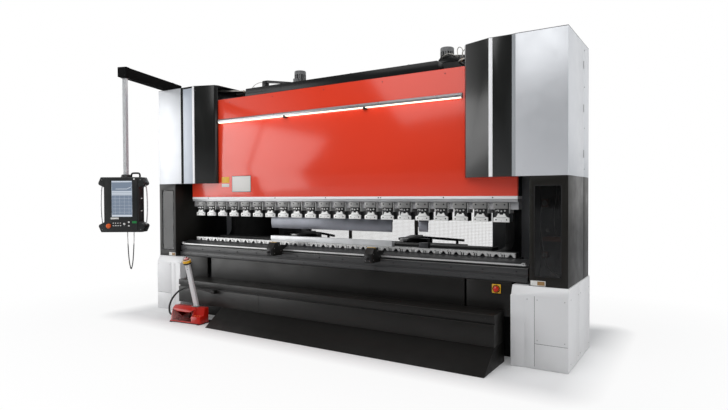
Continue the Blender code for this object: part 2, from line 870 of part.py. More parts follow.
def rear_covers():
    """Folded sheets that close the side covers behind and seat on the side frames."""
    frame_face = frame_inner + frame_plate + seat
    fold = [
        (frame_face, cover_rear), (cover_outer - sheet, cover_rear),
        (cover_outer - sheet, cover_joint + cover_seam), (cover_outer, cover_joint + cover_seam),
        (cover_outer, cover_rear + sheet), (frame_face, cover_rear + sheet),
    ]
    for name, side in sides.items():
        cover = profile("rear_cover_" + name, side_points(fold, side), "z",
                        (cabinet_low, cover_top - sheet - seat), "cover_silver")
        notch = block("rear_notch_" + name,
                      side_span(cover_outer - 3 * sheet, cover_outer + 0.05, side),
                      (cover_joint - 0.05, cover_rear - sheet), (cabinet_low - 0.05, cover_low),
                      "cover_silver")
        cut(cover, notch)


# Rear
def rear_boxes():
    for name, side in sides.items():
        block("rear_box_" + name, side_span(guard_half + seat, rear_box_outer, side),
              (frame_rear + seat, guard_plane + guard_thick), (rear_box_low, rear_box_high),
              "cabinet_grey")


def rear_guard():
    """Guard across the rear: a header over three framed panels, each with a plain grid of bars."""
    edges = [-guard_half, *guard_posts, guard_half]
    half_post = guard_border / 2
    low, high = guard_low + guard_border, guard_high - guard_border
    panels, cells = [], []
    for start, end, columns in zip(edges, edges[1:], guard_columns):
        left = start + (guard_border if start == -guard_half else half_post)
        right = end - (guard_border if end == guard_half else half_post)
        panels.append(rectangle(left, right, low, high))
        across = (right - left + 2 * guard_weld + guard_bar) / columns
        up = (high - low + 2 * guard_weld + guard_bar) / guard_rows
        for column in range(columns):
            for row in range(guard_rows):
                x, z = left - guard_weld + column * across, low - guard_weld + row * up
                cells.append(rectangle(x, x + across - guard_bar, z, z + up - guard_bar))
    guard = profile("rear_guard", rectangle(-guard_half, guard_half, guard_low, rear_box_high), "y",
                    (guard_plane, guard_plane + guard_thick), "guard_steel", panels)
    middle = guard_plane + guard_thick / 2
    grid = profile("guard_grid",
                   rectangle(-guard_half + guard_weld, guard_half - guard_weld,
                             guard_low + guard_weld, guard_high - guard_weld), "y",
                   (middle - guard_bar_thick / 2, middle + guard_bar_thick / 2), "guard_steel", cells)
    unite(guard, grid)


def hydraulics():
    """Oil tank across the top, with a pump block and an upright motor at each side."""
    block("oil_tank", (-frame_inner + seat, frame_inner - seat), (tank_front, tank_rear),
          (tank_low, tank_high), "frame_black")
    deck = tank_high + seat
    for name, side in sides.items():
        rise = unit_rises[name]
        outline = [(unit_inner, deck), (unit_outer, deck), (unit_outer, deck + rise * 0.16),
                   (unit_inner + unit_shoulder, deck + rise), (unit_inner, deck + rise * 0.38)]
        unit = profile("pump_unit_" + name, side_points(outline, side), "y",
                       (tank_front, tank_front + unit_depth), "cabinet_grey")
        motor_x = side * motor_place[0]
        foot = block("motor_foot_" + name, side_span(motor_place[0] - 0.10, unit_inner + 0.19, side),
                     (tank_front + unit_depth - 0.02, motor_place[1] + 0.10), (deck, deck + 0.040),
                     "cabinet_grey")
        motor = drum("pump_motor_" + name, (motor_x, motor_place[1]), motor_radius,
                     (deck + 0.010, motor_top), "cabinet_grey", 36)
        unite(unit, foot)
        unite(unit, motor)


def gauge_bed():
    """Rest bar behind the die rail with the two rails that carry the gauge beam."""
    bed_face = bed_back + seat
    rest = profile("gauge_bed", [
        (bed_face, bed_top - rest_bar_sill), (bed_back + 0.05, bed_top - rest_bar_sill),
        (rest_bar_back, rest_bar_top - 0.03), (rest_bar_back, rest_bar_top),
        (bed_face, rest_bar_top),
    ], "x", (-rest_bar_half, rest_bar_half), "cabinet_grey")
    rail_high = gauge_beam_low - running_gap
    for side in sides.values():
        x = side_span(gauge_rail_place - gauge_rail_width / 2,
                      gauge_rail_place + gauge_rail_width / 2, side)
        rail = profile("gauge_rail", [
            (bed_face, rail_high - 0.45), (gauge_rail_rear, rail_high - 0.10),
            (gauge_rail_rear, rail_high), (bed_face + 0.08, rail_high), (bed_face + 0.08, bed_top),
            (bed_face, bed_top),
        ], "x", x, "cabinet_grey")
        unite(rest, rail)


def back_gauge():
    """Gauge beam on its rails, with two stop fingers."""
    block("gauge_beam", (-gauge_beam_half, gauge_beam_half), (gauge_beam_front, gauge_beam_back),
          (gauge_beam_low, gauge_beam_high), "cabinet_grey")
    low = gauge_beam_high + running_gap
    for name, place in finger_places.items():
        half = finger_body_width / 2
        body = profile("gauge_finger_" + name, [
            (gauge_beam_back, low), (gauge_beam_back, low + 0.085), (gauge_beam_front - 0.02, low + 0.085),
            (gauge_beam_front - finger_reach, low + 0.060), (gauge_beam_front - finger_reach, low + 0.040),
            (gauge_beam_front - 0.03, low + 0.040), (gauge_beam_front - 0.02, low),
        ], "x", (place - half * 0.35, place + half * 0.35), "cabinet_grey")
        wide = block("finger_base_" + name, (place - half, place + half),
                     (gauge_beam_front + 0.01, gauge_beam_back - 0.01), (low, low + 0.050), "cabinet_grey")
        unite(body, wide)


# Console
def arm_direction():
    return Vector((math.sin(arm_turn), -math.cos(arm_turn), 0.0))


def arm_point(distance):
    """Point on the arm's centre line at a distance from the pivot."""
    return Vector((arm_pivot[0], arm_pivot[1], 0.0)) + arm_direction() * distance


def console_arm():
    px, py = arm_pivot
    half = arm_width / 2
    end = py - arm_length
    outline = [
        *arc((px, py + arm_tail), half, 180, 0, 12),
        (px + half, end + arm_cap_rim), (px - half, end + arm_cap_rim),
    ]
    arm = profile("console_arm", outline, "z", (arm_low, arm_high), "cover_black")
    cap = block("arm_cap", (px - half - arm_cap_rim, px + half + arm_cap_rim),
                (end, end + arm_cap_length), (arm_low + arm_cap_lift, arm_high + arm_cap_rim),
                "cabinet_grey")
    post = drum("arm_post", arm_pivot, 0.045, (cover_top + seat, arm_low + 0.005), "cabinet_grey")
    for item in (arm, cap, post):
        turn_about(item, arm_pivot, arm_turn)
    unite(arm, cap)
    unite(arm, post)
    return arm


def console_pole():
    """Square pole that hangs from the arm."""
    pole = arm_point(arm_length - pole_from_end)
    half = pole_size / 2
    piece = block("console_pole", (pole.x - half, pole.x + half), (pole.y - half, pole.y + half),
                  (pole_low, arm_low - seat), "bright_steel")
    turn_about(piece, pole, arm_turn)
    return piece


def console():
    """Console with its hub and side handles, turned on the pole."""
    pole = arm_point(arm_length - pole_from_end)
    hub = drum("console_hub", (pole.x, pole.y), 0.060, (console_top - 0.01, pole_low - running_gap),
               "cabinet_grey")
    mid_z = (console_top + console_low) / 2
    wing_z = console_wing_height
    outline = []
    for sign_x, sign_z, reverse in ((1, 1, False), (1, -1, True), (-1, -1, False), (-1, 1, True)):
        corner = [(console_wing - 0.030, console_top - mid_z), (console_wing, wing_z + 0.020),
                  (console_wing - 0.005, wing_z), (console_waist, wing_z - 0.030)]
        if reverse:
            corner.reverse()
        outline += [(sign_x * x, sign_z * z) for x, z in corner]
    centre_x = pole.x + console_shift[0]
    centre_y = pole.y + console_shift[1]
    shape = [(centre_x + x, mid_z + z) for x, z in outline]
    body = profile("console_body", shape, "y",
                   (centre_y - console_depth / 2, centre_y + console_depth / 2), "cabinet_grey")
    screen = block("console_recess", (centre_x - 0.120, centre_x + 0.120),
                   (centre_y - console_depth / 2 - 0.05, centre_y - console_depth / 2 + 0.006),
                   (mid_z - 0.135, mid_z + 0.275), "cabinet_grey")
    for item in (body, screen):
        turn_about(item, pole, console_turn)
    cut(body, screen)
    unite(body, hub)
    for name, side in sides.items():
        x = centre_x + side * (console_wing - 0.020)
        bow = centre_x + side * (console_wing + 0.004)
        y = centre_y
        route = [(x, y, mid_z - wing_z - 0.012), (bow, y, mid_z - 0.12), (bow, y, mid_z),
                 (bow, y, mid_z + 0.12), (x, y, mid_z + wing_z + 0.012)]
        handle = tube("console_handle_" + name, route, 0.007, "bright_steel", 2)
        turn_about(handle, pole, console_turn)
        unite(body, handle)
    hang_on("console_axis", (pole.x, pole.y, pole_low), [body])


def console_point(x, z):
    """Point at mid depth of the console, x along its face, after it is turned on the pole."""
    pole = arm_point(arm_length - pole_from_end)
    local = Vector((console_shift[0] + x, console_shift[1], 0.0))
    place = Matrix.Rotation(console_turn, 3, "Z") @ local
    return (pole.x + place.x, pole.y + place.y, z)


def console_loop():
    """Cable that hangs in a loop below the console, both ends in its underside."""
    first, last = loop_legs
    top = console_low - seat
    middle = (first + last) / 2
    route = []
    for across, down in ((0.0, 0.0), (0.0, 0.10), (0.03, 0.30), (0.12, 0.60), (0.26, 0.85)):
        route.append(console_point(first + across * (last - first), top - down * loop_drop))
    route.append(console_point(middle, top - loop_drop))
    for across, down in ((0.26, 0.85), (0.12, 0.60), (0.03, 0.30), (0.0, 0.10), (0.0, 0.0)):
        route.append(console_point(last - across * (last - first), top - down * loop_drop))
    tube("console_loop_cord", route, loop_radius, "rubber", 2, 5)


def foot_switch():
    """Foot switch with a hooded opening beside a plain block, and the gland on its left end."""
    x, y = foot_place
    half = foot_width / 2
    front, back = y - foot_depth / 2, y + foot_depth / 2
    split = x + foot_split
    flat_front, flat_back = y + foot_plateau[0], y + foot_plateau[1]
    hood = [
        (front, 0.0), (back, 0.0), (back, foot_height * 0.65), (flat_back, foot_height),
        (flat_front, foot_height), (front + 0.045, foot_height * 0.82), (front + 0.012, foot_sole),
        (front, foot_sole),
    ]
    step = [
        (front, 0.0), (flat_back, 0.0), (flat_back, foot_height), (flat_front, foot_height),
        (flat_front - 0.022, foot_height * 0.52), (front + 0.006, foot_height * 0.47),
        (front, foot_height * 0.42),
    ]
    body = profile("foot_switch", hood, "x", (x - half, split), "signal_red")
    block_part = profile("foot_block", step, "x", (split - 0.005, x + half), "signal_red")
    hollow = block("foot_opening", (x - half + 0.025, split - 0.020),
                   (front - 0.05, back - 0.03), (foot_sole + 0.002, foot_height * 0.66), "signal_red")
    lying = Matrix.Translation((x - half + gland_sunk - gland_length / 2, y, gland_height))
    gland = drum("foot_gland", (0.0, 0.0), gland_radius, (-gland_length / 2, gland_length / 2),
                 "rubber", 20)
    gland.matrix_basis = lying @ Matrix.Rotation(math.radians(90), 4, "Y")
    for item in (body, block_part, hollow, gland):
        turn_about(item, foot_place, foot_turn)
    unite(body, block_part)
    cut(body, hollow)
    unite(body, gland)


def foot_stand():
    """Flat bar that leans forward from the top of the foot switch, with a stop button on it."""
    x = foot_place[0] + stand_place[0]
    y = foot_place[1] + stand_place[1]
    low = foot_height + seat
    bar = block("foot_stand", (-stand_width / 2, stand_width / 2), (-stand_depth / 2, stand_depth / 2),
                (low - 0.05, stand_high), "cover_silver")
    hinge = Matrix.Translation((x, y, low))
    lean = hinge @ Matrix.Rotation(stand_lean, 4, "X") @ Matrix.Translation((0.0, 0.0, -low))
    bar.matrix_basis = lean @ bar.matrix_basis
    trim = block("stand_trim", (x - 0.2, x + 0.2), (y - 0.2, y + 0.2), (low - 0.2, low), "cover_silver")
    head_top = stand_high + stop_height
    head = drum("stop_box", (0.0, 0.0), stop_radius, (stand_high - 0.012, head_top), "yellow", 28)
    button = drum("stop_button", (0.0, 0.0), button_radius, (head_top - 0.005, head_top + button_height),
                  "signal_red", 24)
    head.matrix_basis = lean @ head.matrix_basis
    button.matrix_basis = lean @ button.matrix_basis
    for item in (bar, trim, head, button):
        turn_about(item, foot_place, foot_turn)
    cut(bar, trim)
    unite(bar, head)
    unite(bar, button)


def foot_cord():
    """Conduit from a box on the lower cover to the gland of the foot switch."""
    reach = foot_width / 2 - gland_sunk + gland_length + cord_seat
    along = Vector((math.cos(foot_turn), math.sin(foot_turn), 0.0))
    end = Vector((*foot_place, gland_height)) - along * reach
    route = [*foot_cord_route, end - along * gland_radius * 2, end]
    tube("foot_switch_cord", route, foot_cord_radius, "rubber", 3, 4)
    x, y, z = foot_cord_start
    half = gland_box / 2
    block("cord_gland", (x + cord_seat, x + cord_seat + gland_box * 1.4), (y - half, lower_cover_front - seat),
          (z - half, z + half), "cabinet_grey")


def place_all():
    side_frames()
    bed()
    die_rail()
    front_beam()
    aprons()
    main_switch_knob()
    lower_covers()
    ram()
    cylinders()
    light_bar()
    clamp_beam()
    tooling()
    carriages()
    upper_covers()
    side_cabinets()
    base_covers()
    rear_covers()
    rear_boxes()
    rear_guard()
    hydraulics()
    gauge_bed()
    back_gauge()
    hang_on("arm_axis", (*arm_pivot, arm_low), [console_arm(), console_pole()])
    console()
    console_loop()
    foot_switch()
    foot_stand()
    foot_cord()


clear_scene()
parts = new_collection("press_brake")
cutters = new_collection("cutters")
place_all()
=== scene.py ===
import json
import math

import bmesh
import bpy
from mathutils import Matrix, Vector


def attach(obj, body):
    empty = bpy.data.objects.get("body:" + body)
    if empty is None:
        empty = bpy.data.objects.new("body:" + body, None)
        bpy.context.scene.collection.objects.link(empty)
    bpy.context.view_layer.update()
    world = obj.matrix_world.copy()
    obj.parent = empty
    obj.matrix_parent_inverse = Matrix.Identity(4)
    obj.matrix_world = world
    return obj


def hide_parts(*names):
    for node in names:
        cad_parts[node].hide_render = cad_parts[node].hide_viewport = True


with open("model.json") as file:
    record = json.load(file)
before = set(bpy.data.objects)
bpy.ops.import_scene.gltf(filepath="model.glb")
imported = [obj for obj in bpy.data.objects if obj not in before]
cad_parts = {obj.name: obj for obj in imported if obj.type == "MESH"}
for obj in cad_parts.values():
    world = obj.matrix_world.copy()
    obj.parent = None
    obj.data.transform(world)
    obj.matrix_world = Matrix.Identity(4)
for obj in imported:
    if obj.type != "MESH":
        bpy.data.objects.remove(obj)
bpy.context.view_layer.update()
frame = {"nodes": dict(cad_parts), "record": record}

scene = bpy.context.scene
scene.view_settings.view_transform = "Standard"

# Camera at the photograph's place
cameraSetup = {"place": (3.597, -4.970, 1.482), "turn": 32.244, "dip": 0.98, "roll": -0.254,
               "lens": 26.98}


def addCamera(setup):
    yaw, dip, roll = (math.radians(setup[key]) for key in ("turn", "dip", "roll"))
    ahead = Vector((-math.sin(yaw) * math.cos(dip), math.cos(yaw) * math.cos(dip), -math.sin(dip)))
    across = Vector((math.cos(yaw), math.sin(yaw), 0.0))
    upward = across.cross(ahead)
    right = across * math.cos(roll) + upward * math.sin(roll)
    top = upward * math.cos(roll) - across * math.sin(roll)
    data = bpy.data.cameras.new("photoCamera")
    data.lens = setup["lens"]
    data.sensor_width = 36.0
    data.clip_end = 200.0
    camera = bpy.data.objects.new("photoCamera", data)
    turn = Matrix((right, top, -ahead)).transposed().to_4x4()
    camera.matrix_world = Matrix.Translation(setup["place"]) @ turn
    scene.collection.objects.link(camera)
    scene.camera = camera


addCamera(cameraSetup)
print("camera placed")

# Cables, along the same points as the CAD solids
footCable = {"thick": 0.022, "steps": 4, "points": [
    (-1.330, -0.520, 0.360), (-1.360, -0.520, 0.360), (-1.43, -0.522, 0.368), (-1.53, -0.528, 0.384),
    (-1.65, -0.540, 0.390), (-1.77, -0.555, 0.370), (-1.87, -0.572, 0.318),
    (-1.945, -0.592, 0.235), (-1.975, -0.610, 0.150), (-1.957, -0.626, 0.085),
    (-1.925, -0.635, 0.058)]}
footSwitch = {"place": (-1.585, -0.598), "turn": 6.5, "wide": 0.462,
              "glandSunk": 0.010, "glandLong": 0.044, "glandHigh": 0.045, "glandRadius": 0.018,
              "cableGap": 0.0008}
consolePole = {"pivot": (-2.550, -0.100), "turn": 18.3, "reach": 0.935}
consoleFace = {"turn": 32.2, "shift": (-0.022, -0.01), "low": 1.065}
loopCable = {"thick": 0.0115, "steps": 5, "legs": (0.036, 0.112), "drop": 0.440,
             "fall": ((0.0, 0.0), (0.0, 0.10), (0.03, 0.30), (0.12, 0.60), (0.26, 0.85))}


def softRoute(points, steps):
    knots = [Vector(point) for point in points]
    ends = [2 * knots[0] - knots[1], *knots, 2 * knots[-1] - knots[-2]]
    route = []
    for index in range(1, len(ends) - 2):
        a, b, c, d = ends[index - 1:index + 3]
        for step in range(steps):
            t = step / steps
            route.append(0.5 * (2 * b + (c - a) * t + (2 * a - 5 * b + 4 * c - d) * t ** 2
                                + (3 * b - a - 3 * c + d) * t ** 3))
    route.append(knots[-1])
    return route


def mirroredRoute(points, side, steps=5):
    return softRoute([(side * x, y, z) for x, y, z in points], steps)


def polePlace():
    turn = math.radians(consolePole["turn"])
    x, y = consolePole["pivot"]
    return Vector((x + math.sin(turn) * consolePole["reach"], y - math.cos(turn) * consolePole["reach"],
                   0.0))


def consoleMatrix():
    # local x along the console's face, local y through its depth, z upward
    turn = Matrix.Rotation(math.radians(consoleFace["turn"]), 4, "Z")
    shift = Matrix.Translation((*consoleFace["shift"], 0.0))
    return Matrix.Translation(polePlace()) @ turn @ shift


def footMatrix():
    # local x along the foot switch, local y through its depth, z upward
    place = Matrix.Translation((*footSwitch["place"], 0.0))
    return place @ Matrix.Rotation(math.radians(footSwitch["turn"]), 4, "Z")


# Materials
def newMaterial(name):
    material = bpy.data.materials.new(name)
    material.use_nodes = True
    return material, material.node_tree, material.node_tree.nodes["Principled BSDF"]


def objectPattern(tree, stretch=(1.0, 1.0, 1.0)):
    place = tree.nodes.new("ShaderNodeTexCoord")
    scale = tree.nodes.new("ShaderNodeMapping")
    scale.inputs["Scale"].default_value = stretch
    tree.links.new(place.outputs["Object"], scale.inputs["Vector"])
    return scale.outputs["Vector"]


def noisePattern(tree, vector, scale, detail=3.0):
    noise = tree.nodes.new("ShaderNodeTexNoise")
    noise.inputs["Scale"].default_value = scale
    noise.inputs["Detail"].default_value = detail
    tree.links.new(vector, noise.inputs["Vector"])
    return noise.outputs["Fac"]


def spread(tree, value, low, high, fromLow=0.3, fromHigh=0.7):
    node = tree.nodes.new("ShaderNodeMapRange")
    node.inputs["From Min"].default_value = fromLow
    node.inputs["From Max"].default_value = fromHigh
    node.inputs["To Min"].default_value = low
    node.inputs["To Max"].default_value = high
    tree.links.new(value, node.inputs["Value"])
    return node.outputs["Result"]


def blendColours(tree, factor, first, second):
    node = tree.nodes.new("ShaderNodeMix")
    node.data_type = "RGBA"
    node.inputs["A"].default_value = (*first, 1.0)
    node.inputs["B"].default_value = (*second, 1.0)
    tree.links.new(factor, node.inputs["Factor"])
    return node.outputs["Result"]


def addBump(tree, shader, value, strength, distance=0.001):
    bump = tree.nodes.new("ShaderNodeBump")
    bump.inputs["Strength"].default_value = strength
    bump.inputs["Distance"].default_value = distance
    tree.links.new(value, bump.inputs["Height"])
    tree.links.new(bump.outputs["Normal"], shader.inputs["Normal"])


def addDust(tree, shader, low, high, most):
    # floor dust: thickest at the bottom, thinning out upwards in patches
    place = tree.nodes.new("ShaderNodeTexCoord")
    parts = tree.nodes.new("ShaderNodeSeparateXYZ")
    tree.links.new(place.outputs["Object"], parts.inputs[0])
    height = spread(tree, parts.outputs["Z"], most, 0.0, low, high)
    patches = noisePattern(tree, objectPattern(tree), 7.0, 5.0)
    amount = tree.nodes.new("ShaderNodeMath")
    amount.operation = "MULTIPLY"
    tree.links.new(height, amount.inputs[0])
    tree.links.new(patches, amount.inputs[1])
    socket = shader.inputs["Base Color"]
    painted = socket.links[0].from_socket
    mix = tree.nodes.new("ShaderNodeMix")
    mix.data_type = "RGBA"
    mix.inputs["B"].default_value = (0.22, 0.21, 0.19, 1.0)
    tree.links.new(amount.outputs[0], mix.inputs["Factor"])
    tree.links.new(painted, mix.inputs["A"])
    tree.links.new(mix.outputs["Result"], socket)


def sprayedPaint(name, look):
    # smooth sprayed paint: faint clouding, orange peel and handling marks in the gloss
    material, tree, shader = newMaterial(name)
    vector = objectPattern(tree)
    clouds = spread(tree, noisePattern(tree, vector, look.get("clouds", 1.7)), 0.0, 1.0)
    dark = tuple(channel * look.get("shade", 0.93) for channel in look["colour"])
    tree.links.new(blendColours(tree, clouds, dark, look["colour"]), shader.inputs["Base Color"])
    marks = noisePattern(tree, vector, look.get("marks", 9.0), 6.0)
    rough = look["rough"]
    tree.links.new(spread(tree, marks, rough * 0.85, rough * 1.15), shader.inputs["Roughness"])
    shader.inputs["Metallic"].default_value = look.get("metal", 0.0)
    shader.inputs["Specular IOR Level"].default_value = look.get("specular", 0.5)
    shader.inputs["Coat Weight"].default_value = look.get("coat", 0.0)
    shader.inputs["Coat Roughness"].default_value = look.get("coatRough", 0.1)
    addBump(tree, shader, noisePattern(tree, vector, look.get("peel", 420.0), 2.0),
            look.get("peelDepth", 0.05), 0.0004)
    if "dust" in look:
        addDust(tree, shader, *look["dust"])
    return material


def groundSteel(name, look):
    # ground steel: fine lines along the piece and a little staining
    material, tree, shader = newMaterial(name)
    lines = noisePattern(tree, objectPattern(tree, look.get("stretch", (4.0, 300.0, 300.0))), 6.0, 4.0)
    stains = noisePattern(tree, objectPattern(tree), 5.0, 5.0)
    mixed = tree.nodes.new("ShaderNodeMath")
    mixed.operation = "MULTIPLY_ADD"
    mixed.inputs[1].default_value = 0.6
    tree.links.new(lines, mixed.inputs[0])
    stainPart = spread(tree, stains, 0.0, 0.4, 0.25, 0.75)
    tree.links.new(stainPart, mixed.inputs[2])
    dark = tuple(channel * look.get("shade", 0.72) for channel in look["colour"])
    shade = spread(tree, mixed.outputs[0], 0.0, 1.0, 0.25, 0.75)
    tree.links.new(blendColours(tree, shade, dark, look["colour"]), shader.inputs["Base Color"])
    rough = look["rough"]
    tree.links.new(spread(tree, lines, rough * 0.8, rough * 1.25), shader.inputs["Roughness"])
    shader.inputs["Metallic"].default_value = look.get("metal", 0.9)
    addBump(tree, shader, lines, look.get("lineDepth", 0.10), 0.0003)
    return material


def mouldedPlastic(name, look):
    # moulded plastic with a fine leathery grain
    material, tree, shader = newMaterial(name)
    vector = objectPattern(tree)
    tone = spread(tree, noisePattern(tree, vector, 3.0), 0.0, 1.0)
    dark = tuple(channel * 0.88 for channel in look["colour"])
    tree.links.new(blendColours(tree, tone, dark, look["colour"]), shader.inputs["Base Color"])
    rough = look["rough"]
    tree.links.new(spread(tree, noisePattern(tree, vector, 40.0), rough * 0.9, rough * 1.12),
                   shader.inputs["Roughness"])
    shader.inputs["Specular IOR Level"].default_value = look.get("specular", 0.35)
    grain = tree.nodes.new("ShaderNodeTexVoronoi")
    grain.inputs["Scale"].default_value = look.get("grain", 700.0)
    tree.links.new(vector, grain.inputs["Vector"])
    addBump(tree, shader, grain.outputs["Distance"], look.get("grainDepth", 0.12), 0.0003)
    return material


def glowing(name, colour, strength):
    material, tree, shader = newMaterial(name)
    vector = objectPattern(tree)
    tone = spread(tree, noisePattern(tree, vector, 4.0), 0.0, 1.0)
    dim = tuple(channel * 0.92 for channel in colour)
    shaded = blendColours(tree, tone, dim, colour)
    tree.links.new(shaded, shader.inputs["Base Color"])
    tree.links.new(shaded, shader.inputs["Emission Color"])
    shader.inputs["Emission Strength"].default_value = strength
    shader.inputs["Roughness"].default_value = 0.35
    return material


def twoTone(name, upper, lower, change):
    # sleeved cable: the lower length wears a sleeve of another colour
    material, tree, shader = newMaterial(name)
    vector = objectPattern(tree)
    parts = tree.nodes.new("ShaderNodeSeparateXYZ")
    tree.links.new(vector, parts.inputs[0])
    share = spread(tree, parts.outputs["Z"], 0.0, 1.0, *change)
    tree.links.new(blendColours(tree, share, lower, upper), shader.inputs["Base Color"])
    tree.links.new(spread(tree, noisePattern(tree, vector, 40.0), 0.45, 0.58),
                   shader.inputs["Roughness"])
    shader.inputs["Specular IOR Level"].default_value = 0.3
    return material


def tintedPane(name, look):
    # dark clear sheet: it shows what is behind it, dimmed
    material, tree, shader = newMaterial(name)
    vector = objectPattern(tree)
    wipe = noisePattern(tree, vector, 6.0, 4.0)
    shader.inputs["Base Color"].default_value = (*look["colour"], 1.0)
    tree.links.new(spread(tree, wipe, look["rough"] * 0.7, look["rough"] * 1.5),
                   shader.inputs["Roughness"])
    shader.inputs["Alpha"].default_value = look["cover"]
    shader.inputs["Coat Weight"].default_value = 0.5
    shader.inputs["Coat Roughness"].default_value = 0.04
    return material


def paneledScreen(name, colours, strength):
    # lit screen: soft vertical bands of pale colour
    material, tree, shader = newMaterial(name)
    wide = noisePattern(tree, objectPattern(tree, (1.0, 1.0, 14.0)), 1.6, 2.0)
    bands = spread(tree, wide, 0.0, 1.0, 0.40, 0.60)
    shaded = blendColours(tree, bands, *colours)
    tree.links.new(shaded, shader.inputs["Base Color"])
    tree.links.new(shaded, shader.inputs["Emission Color"])
    shader.inputs["Emission Strength"].default_value = strength
    shader.inputs["Roughness"].default_value = 0.25
    return material


paints = {
    "panelRed": {"colour": (0.76, 0.047, 0.016), "rough": 0.42, "coat": 0.85, "coatRough": 0.13,
                 "shade": 0.95, "clouds": 0.9, "specular": 0.08},
    "panelEdgeRed": {"colour": (0.42, 0.022, 0.012), "rough": 0.40, "coat": 0.3, "shade": 0.9,
                     "clouds": 1.2},
    "coverSilver": {"colour": (0.60, 0.615, 0.64), "rough": 0.36, "metal": 0.35, "shade": 0.97,
                    "clouds": 0.7, "peelDepth": 0.08, "peel": 300.0},
    "baseSilver": {"colour": (0.71, 0.71, 0.715), "rough": 0.40, "metal": 0.08, "shade": 0.97,
                   "clouds": 0.8, "dust": (0.0, 0.30, 0.30)},
    # pale silver-blue band on the left cover's flat black part: a painted reflection of the light from
    # the left
    "bandSilver": {"colour": (0.46, 0.50, 0.56), "rough": 0.38, "metal": 0.1, "shade": 0.96,
                   "clouds": 0.8},
    # grey of the right cover's fold: painted partial shade, darker than the silver the fold belongs to
    "foldPaintedShadeGrey": {"colour": (0.30, 0.315, 0.33), "rough": 0.40, "shade": 0.95, "specular": 0.3},
    "coverBlack": {"colour": (0.012, 0.0127, 0.012), "rough": 0.34, "coat": 0.80, "coatRough": 0.20,
                   "shade": 0.8, "specular": 0.08},
    "bodyAnthracite": {"colour": (0.0105, 0.0098, 0.0088), "rough": 0.42, "coat": 0.10,
                       "coatRough": 0.25, "shade": 0.75, "marks": 6.0, "specular": 0.22,
                       "dust": (0.0, 0.30, 0.07)},
    "capBlack": {"colour": (0.0095, 0.0095, 0.0098), "rough": 0.40, "shade": 0.8, "coat": 0.35,
                 "coatRough": 0.24, "specular": 0.05},
    "frameBlack": {"colour": (0.008, 0.008, 0.008), "rough": 0.55, "shade": 0.75, "specular": 0.25},
    "armBlack": {"colour": (0.010, 0.010, 0.010), "rough": 0.70, "shade": 0.8, "specular": 0.01},
    "beamGrey": {"colour": (0.044, 0.044, 0.045), "rough": 0.40, "shade": 0.8, "specular": 0.4},
    "skirtBlack": {"colour": (0.0055, 0.0050, 0.0045), "rough": 0.45, "shade": 0.75, "specular": 0.10,
                   "dust": (0.0, 0.20, 0.03)},
    "topGrey": {"colour": (0.0085, 0.009, 0.0095), "rough": 0.36, "shade": 0.6, "coat": 0.8,
                "coatRough": 0.16, "clouds": 5.0, "peel": 160.0, "peelDepth": 0.3, "specular": 0.08},
    "cabinetGrey": {"colour": (0.0115, 0.0105, 0.0088), "rough": 0.40, "coat": 0.05, "coatRough": 0.25,
                    "shade": 0.85, "specular": 0.22},
    "channelSilver": {"colour": (0.36, 0.36, 0.37), "rough": 0.30, "metal": 0.65, "shade": 0.95},
    "motorGrey": {"colour": (0.20, 0.202, 0.204), "rough": 0.45, "shade": 0.8},
    "stripWhite": {"colour": (0.86, 0.86, 0.87), "rough": 0.35, "shade": 0.96},
    "stripBright": {"colour": (0.88, 0.88, 0.89), "rough": 0.35, "shade": 0.96},
    "plateWhite": {"colour": (0.70, 0.69, 0.66), "rough": 0.45, "shade": 0.93},
    "plateGrey": {"colour": (0.34, 0.34, 0.34), "rough": 0.42, "shade": 0.85, "clouds": 9.0},
    "plateYellow": {"colour": (0.80, 0.46, 0.03), "rough": 0.45, "shade": 0.93},
    "plateTan": {"colour": (0.30, 0.17, 0.06), "rough": 0.5, "shade": 0.85, "clouds": 18.0},
    "switchRed": {"colour": (0.52, 0.012, 0.005), "rough": 0.30, "coat": 0.5, "coatRough": 0.18,
                  "shade": 0.75, "clouds": 12.0, "peel": 260.0, "peelDepth": 0.14, "specular": 0.15},
    "pedalRed": {"colour": (0.36, 0.010, 0.006), "rough": 0.26, "coat": 0.8, "shade": 0.7,
                 "clouds": 16.0},
    "holderBlack": {"colour": (0.016, 0.016, 0.017), "rough": 0.40, "metal": 0.3},
    "guardSteel": {"colour": (0.085, 0.080, 0.070), "rough": 0.5},
    "meshWire": {"colour": (0.55, 0.52, 0.46), "rough": 0.5, "shade": 0.85},
}
steels = {
    "brightSteel": {"colour": (0.62, 0.62, 0.61), "rough": 0.34, "metal": 0.6},
    "rodChrome": {"colour": (0.75, 0.76, 0.77), "rough": 0.16, "metal": 0.95,
                  "stretch": (120.0, 120.0, 4.0)},
    "clampSteel": {"colour": (0.50, 0.50, 0.51), "rough": 0.38, "metal": 0.55},
    "capSteel": {"colour": (0.27, 0.27, 0.265), "rough": 0.40, "metal": 0.6},
    "crownSteel": {"colour": (0.86, 0.86, 0.84), "rough": 0.40, "metal": 0.25},
    "toolSteel": {"colour": (0.24, 0.25, 0.28), "rough": 0.34, "metal": 0.7},
    "dieSteel": {"colour": (0.76, 0.77, 0.78), "rough": 0.36, "metal": 0.4},
    "railSteel": {"colour": (0.050, 0.051, 0.054), "rough": 0.40, "metal": 0.7},
    "rearSteel": {"colour": (0.020, 0.020, 0.021), "rough": 0.45, "metal": 0.5},
    "poleSteel": {"colour": (0.70, 0.71, 0.72), "rough": 0.30, "metal": 0.5, "lineDepth": 0.02,
                  "stretch": (60.0, 60.0, 1.2), "shade": 0.94},
    "pipeSteel": {"colour": (0.50, 0.48, 0.44), "rough": 0.32, "metal": 0.7},
    "fittingBrass": {"colour": (0.34, 0.17, 0.07), "rough": 0.38, "metal": 0.7,
                     "stretch": (60.0, 60.0, 60.0)},
    "copperRed": {"colour": (0.22, 0.075, 0.035), "rough": 0.42, "metal": 0.4,
                  "stretch": (40.0, 40.0, 40.0)},
    "screwDark": {"colour": (0.016, 0.016, 0.018), "rough": 0.45, "metal": 0.5},
}
